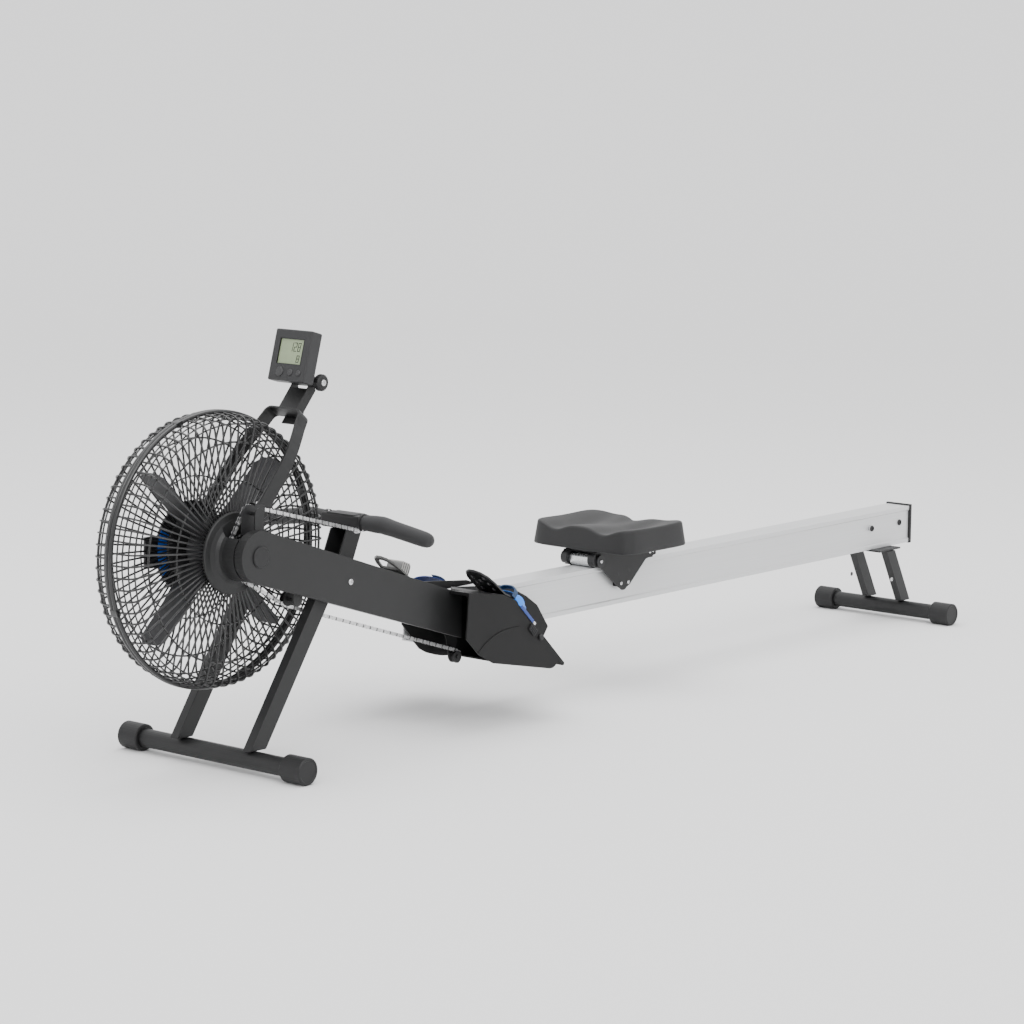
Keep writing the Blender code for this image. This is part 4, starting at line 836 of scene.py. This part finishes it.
def feet():
    """Straps, lug, tail and buckle on the near foot; strap, pad and ribbed clip on the far one."""
    place = on_incline()
    left = Shape()
    left.prism(hump(-0.1795, -0.0900, 0.0190, 0.0022), -0.1075, -0.0665, "X", place)
    strap = left.make("foot_strap_left_web", STRAP_BLUE, "frame", "blue_webbing", smooth=50, bevel=0.0006)
    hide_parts("foot_strap_left")
    # The far strap's deeper blue is painted shade on the same webbing.
    right = Shape()
    right.prism(hump(0.0495, 0.1680, 0.0540, 0.0022), -0.0595, -0.0205, "X", place)
    strap = right.make("foot_strap_right_web", STRAP_PAINTED_SHADE, "frame", "blue_webbing", smooth=50, bevel=0.0006)
    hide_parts("foot_strap_right")

    # Near foot: a round blue lug at the strap's end, a tail along the slab's edge, and its buckle.
    # The lug's bright blue is a painted highlight on the face turned to the light.
    lug = Shape()
    half = [(0.0, 0.0125), (0.0070, 0.0112), (0.0122, 0.0060)]
    rounded = [(r, -y) for r, y in half] + [(0.0138, 0.0)] + half[::-1]
    squeeze = Matrix.Diagonal((1.35, 0.62, 0.85, 1.0))
    spot = place @ Matrix.Translation((-0.0930, -0.1765, 0.0060)) @ squeeze
    lug.turned(rounded, (0, 0, 0), place=spot, sides=24)
    lug.make("strap_lug_left", BLUE_PAINTED_LIT, "frame", "blue_plastic", smooth=80)
    # The tail's deeper blue is painted shade on the slab's side face.
    tail = Shape()
    tail.box((-0.0880, -0.0340), (-0.1842, -0.1825), (-0.0030, 0.0035), place, soft=0.0020)
    tail.make("strap_tail_left", STRAP_PAINTED_SHADE, "frame", "blue_webbing", bevel=0.0004)
    # The loop's dark blue is painted shade on the strap's inner face.
    loop = Shape()
    loop.prism(hump(-0.1800, -0.1300, 0.0250, 0.0030), -0.1210, -0.1100, "X", place)
    loop.make("strap_loop_left", BLUE_PAINTED_SHADE, "frame", "blue_webbing", smooth=50, bevel=0.0006)
    silver = Shape()
    silver.box((-0.0325, -0.0255), (-0.1845, -0.1825), (-0.0030, 0.0030), place, soft=0.0012)
    silver.make("strap_pin_left", STEEL, "frame", "bright_steel", bevel=0.0004)
    buckle = Shape()
    buckle.box((-0.0360, -0.0110), (-0.1850, -0.1825), (-0.0200, -0.0050), place, soft=0.0030)
    for k in range(5):
        x = -0.0340 + 0.0048 * k
        buckle.box((x, x + 0.0022), (-0.1864, -0.1848), (-0.0190, -0.0060), place, soft=0.0008)
    buckle.bolt(place @ Vector((0.0080, -0.1825, -0.0085)), 0.0062, 0.0050, socket=False)
    buckle.make("strap_buckle_left", DARK, "frame", "black_plastic", bevel=0.0004)

    # Crease that the moulding of the outer face has, from its lower corner up to the slab's edge.
    crease = Shape()
    low, bend, high = (at(x, -0.1824, z) for x, z in ((0.563, 0.1660), (0.607, 0.2094), (0.692, 0.2052)))
    crease.tube(bezier(low, bend, high, 6), [0.0006, 0.0011, 0.0014, 0.0014, 0.0014, 0.0011, 0.0006], 8)
    crease.make("housing_crease", HOUSING, "frame", "black_plastic", smooth=80)

    # Far foot: a ribbed grey clip on the toe loop, and the strap's pad, painted dark blue as shade.
    clip, ribs = Shape(), Shape()
    tip = Matrix.Translation(at(0.7090, 0.1660, 0.2840)) @ Matrix.Rotation(FOOT_SLOPE * 0.5, 4, "Y")
    clip.box((-0.0150, 0.0150), (-0.0210, 0.0190), (-0.0130, 0.0120), tip, soft=0.0060)
    for k in range(4):
        x = -0.0120 + 0.0064 * k
        ribs.box((x, x + 0.0030), (-0.0216, 0.0196), (-0.0100, 0.0136), tip, soft=0.0012)
    clip.make("strap_clip_right", GREY, "frame", "black_plastic", bevel=0.0008)
    ribs.make("strap_clip_ribs", LIGHT, "frame", "black_plastic", bevel=0.0005)
    pad = Shape()
    outer = [p for p in hump(0.0485, 0.1690, 0.0560, 0.0018)[:29] if p[0] < 0.112]
    pad.prism(outer + [(y, z - 0.0016) for y, z in outer[::-1]], -0.0640, -0.0160, "X", place)
    pad.make("strap_pad_right", BLUE_PAINTED_SHADE, "frame", "blue_webbing", smooth=50, bevel=0.0005)


# ---------------------------------------------------------------- CAD nodes


SLOT_MATERIALS = {
    "powder_coat": POWDER, "black_plastic": PLASTIC, "gloss_black_wire": WIRE, "perforated_plate": TOE,
    "satin_aluminium": RAIL, "bright_steel": STEEL, "seat_foam": SEAT, "grip_foam": GRIP,
    "blue_webbing": STRAP_BLUE, "blue_plastic": BLUE, "lcd_glass": LCD,
}  # fmt: skip
NODE_MATERIALS = {
    "monitor_case": MONITOR, "button_1": BUTTON, "button_2": BUTTON, "button_3": BUTTON,
    "seat_roller_front": ROLLER, "seat_roller_rear": ROLLER, "axle_cap_left": PLASTIC,
    "fan_hub": BLADE, "damper_ring": DARK, "toe_plate_right": GREY,
    "foot_housing_left": HOUSING, "foot_housing_right": HOUSING,
    **{f"fan_blade_{k}": BLADE for k in range(1, 5)},
}  # fmt: skip
SOFTENED = {  # width of the rounded edges
    "beam_left": 0.0012, "beam_right": 0.0012, "handle_post": 0.0010, "monitor_post": 0.0006,
    "monitor_strap": 0.0006, "front_leg_left": 0.0012, "front_leg_right": 0.0012,
    "rear_leg_left": 0.0012, "rear_leg_right": 0.0012, "foot_housing_left": 0.0016,
    "foot_housing_right": 0.0016, "rail_end_cap": 0.0010, "seat_carriage": 0.0006,
    "rear_bracket": 0.0008, "rail": 0.0005,
}  # fmt: skip


def dress_nodes():
    """Gives every CAD node its material, and rounds the edges of the frame's larger ones."""
    slots = {row["node"]: row["material_slot"] for row in frame["record"]["subparts"]}
    for name, obj in frame["nodes"].items():
        mat = NODE_MATERIALS.get(name, SLOT_MATERIALS[slots[name]])
        obj.data.materials.clear()
        obj.data.materials.append(mat)
        if name in SOFTENED:
            weld = obj.modifiers.new("weld", "WELD")
            weld.merge_threshold = 0.00001
            edge = obj.modifiers.new("soft_edges", "BEVEL")
            edge.width, edge.segments = SOFTENED[name], 2
            edge.limit_method, edge.angle_limit = "ANGLE", radians(30)
            edge.use_clamp_overlap = True
            edge.harden_normals = True


# ---------------------------------------------------------------- stage and camera


def stage():
    """A round floor that curves up into a pale wall, soft lights, and an even sky above."""
    floor_mat = material(
        "studio_floor", (0.80, 0.80, 0.80), 0.95, vary=0.004, vary_scale=0.6, bump=0.02, bump_scale=60
    )
    flat, curve = 9, 6  # radius of the level floor, and of its curve up to the wall
    section = [(6.0, 0.0), (9.0, 0.0)]
    for a in range(10, 81, 10):
        section.append((flat + curve * sin(radians(a)), curve - curve * cos(radians(a))))
    sides = 96
    angles = [2 * pi * k / sides for k in range(sides)]
    points = [(r * cos(a), r * sin(a), z) for r, z in section for a in angles]
    faces = [list(range(sides))]
    for i in range(len(section) - 1):
        for k in range(sides):
            n = (k + 1) % sides
            faces.append((i * sides + k, (i + 1) * sides + k, (i + 1) * sides + n, i * sides + n))
    mesh = bpy.data.meshes.new("floor")
    mesh.from_pydata(points, [], faces)
    mesh.materials.append(floor_mat)
    mesh.shade_smooth()
    floor = bpy.data.objects.new("floor", mesh)
    bpy.context.scene.collection.objects.link(floor)

    world = bpy.data.worlds.new("studio")
    bpy.context.scene.world = world
    world.use_nodes = True
    world.node_tree.nodes["Background"].inputs["Color"].default_value = (0.66, 0.66, 0.665, 1)
    world.node_tree.nodes["Background"].inputs["Strength"].default_value = 2.2

    def area(name, spot, target, size, power):
        light = bpy.data.lights.new(name, "AREA")
        light.shape, light.size, light.size_y, light.energy = "RECTANGLE", size[0], size[1], power
        obj = bpy.data.objects.new(name, light)
        obj.location = spot
        obj.rotation_euler = (Vector(target) - Vector(spot)).to_track_quat("-Z", "Y").to_euler()
        bpy.context.scene.collection.objects.link(obj)

    area("key_light", (-3.5, -4.0, 4.5), (0, 0, 0.3), (3.5, 2.5), 120)
    area("top_light", (0.3, 0.8, 5.0), (0, 0, 0), (5.0, 3.5), 160)
    sun = bpy.data.lights.new("soft_sun", "SUN")
    sun.energy, sun.angle = 1.1, radians(70)
    obj = bpy.data.objects.new("soft_sun", sun)
    obj.rotation_euler = (radians(28), radians(-22), 0)
    bpy.context.scene.collection.objects.link(obj)


def camera():
    data = bpy.data.cameras.new("camera")
    data.lens, data.sensor_width, data.clip_end = 112.352, 36.0, 200.0
    right, forward = Vector((0.6442, -0.7647, 0.0136)), Vector((0.7583, 0.6363, -0.1421)).normalized()
    right = (right - forward * right.dot(forward)).normalized()
    up = right.cross(forward)
    spot = (-5.2379, -4.2560, 1.3515)
    obj = bpy.data.objects.new("camera", data)
    obj.matrix_world = Matrix([(right[i], up[i], -forward[i], spot[i]) for i in range(3)] + [(0, 0, 0, 1)])
    bpy.context.scene.collection.objects.link(obj)
    bpy.context.scene.camera = obj


camera()
stage()
dress_nodes()
cage()
damper()
fixed_chain()
pull_chain()
chain_guide()
chain_hook()
seat()
carriage()
rail_bolts()
handle()
monitor()
frame_details()
feet()
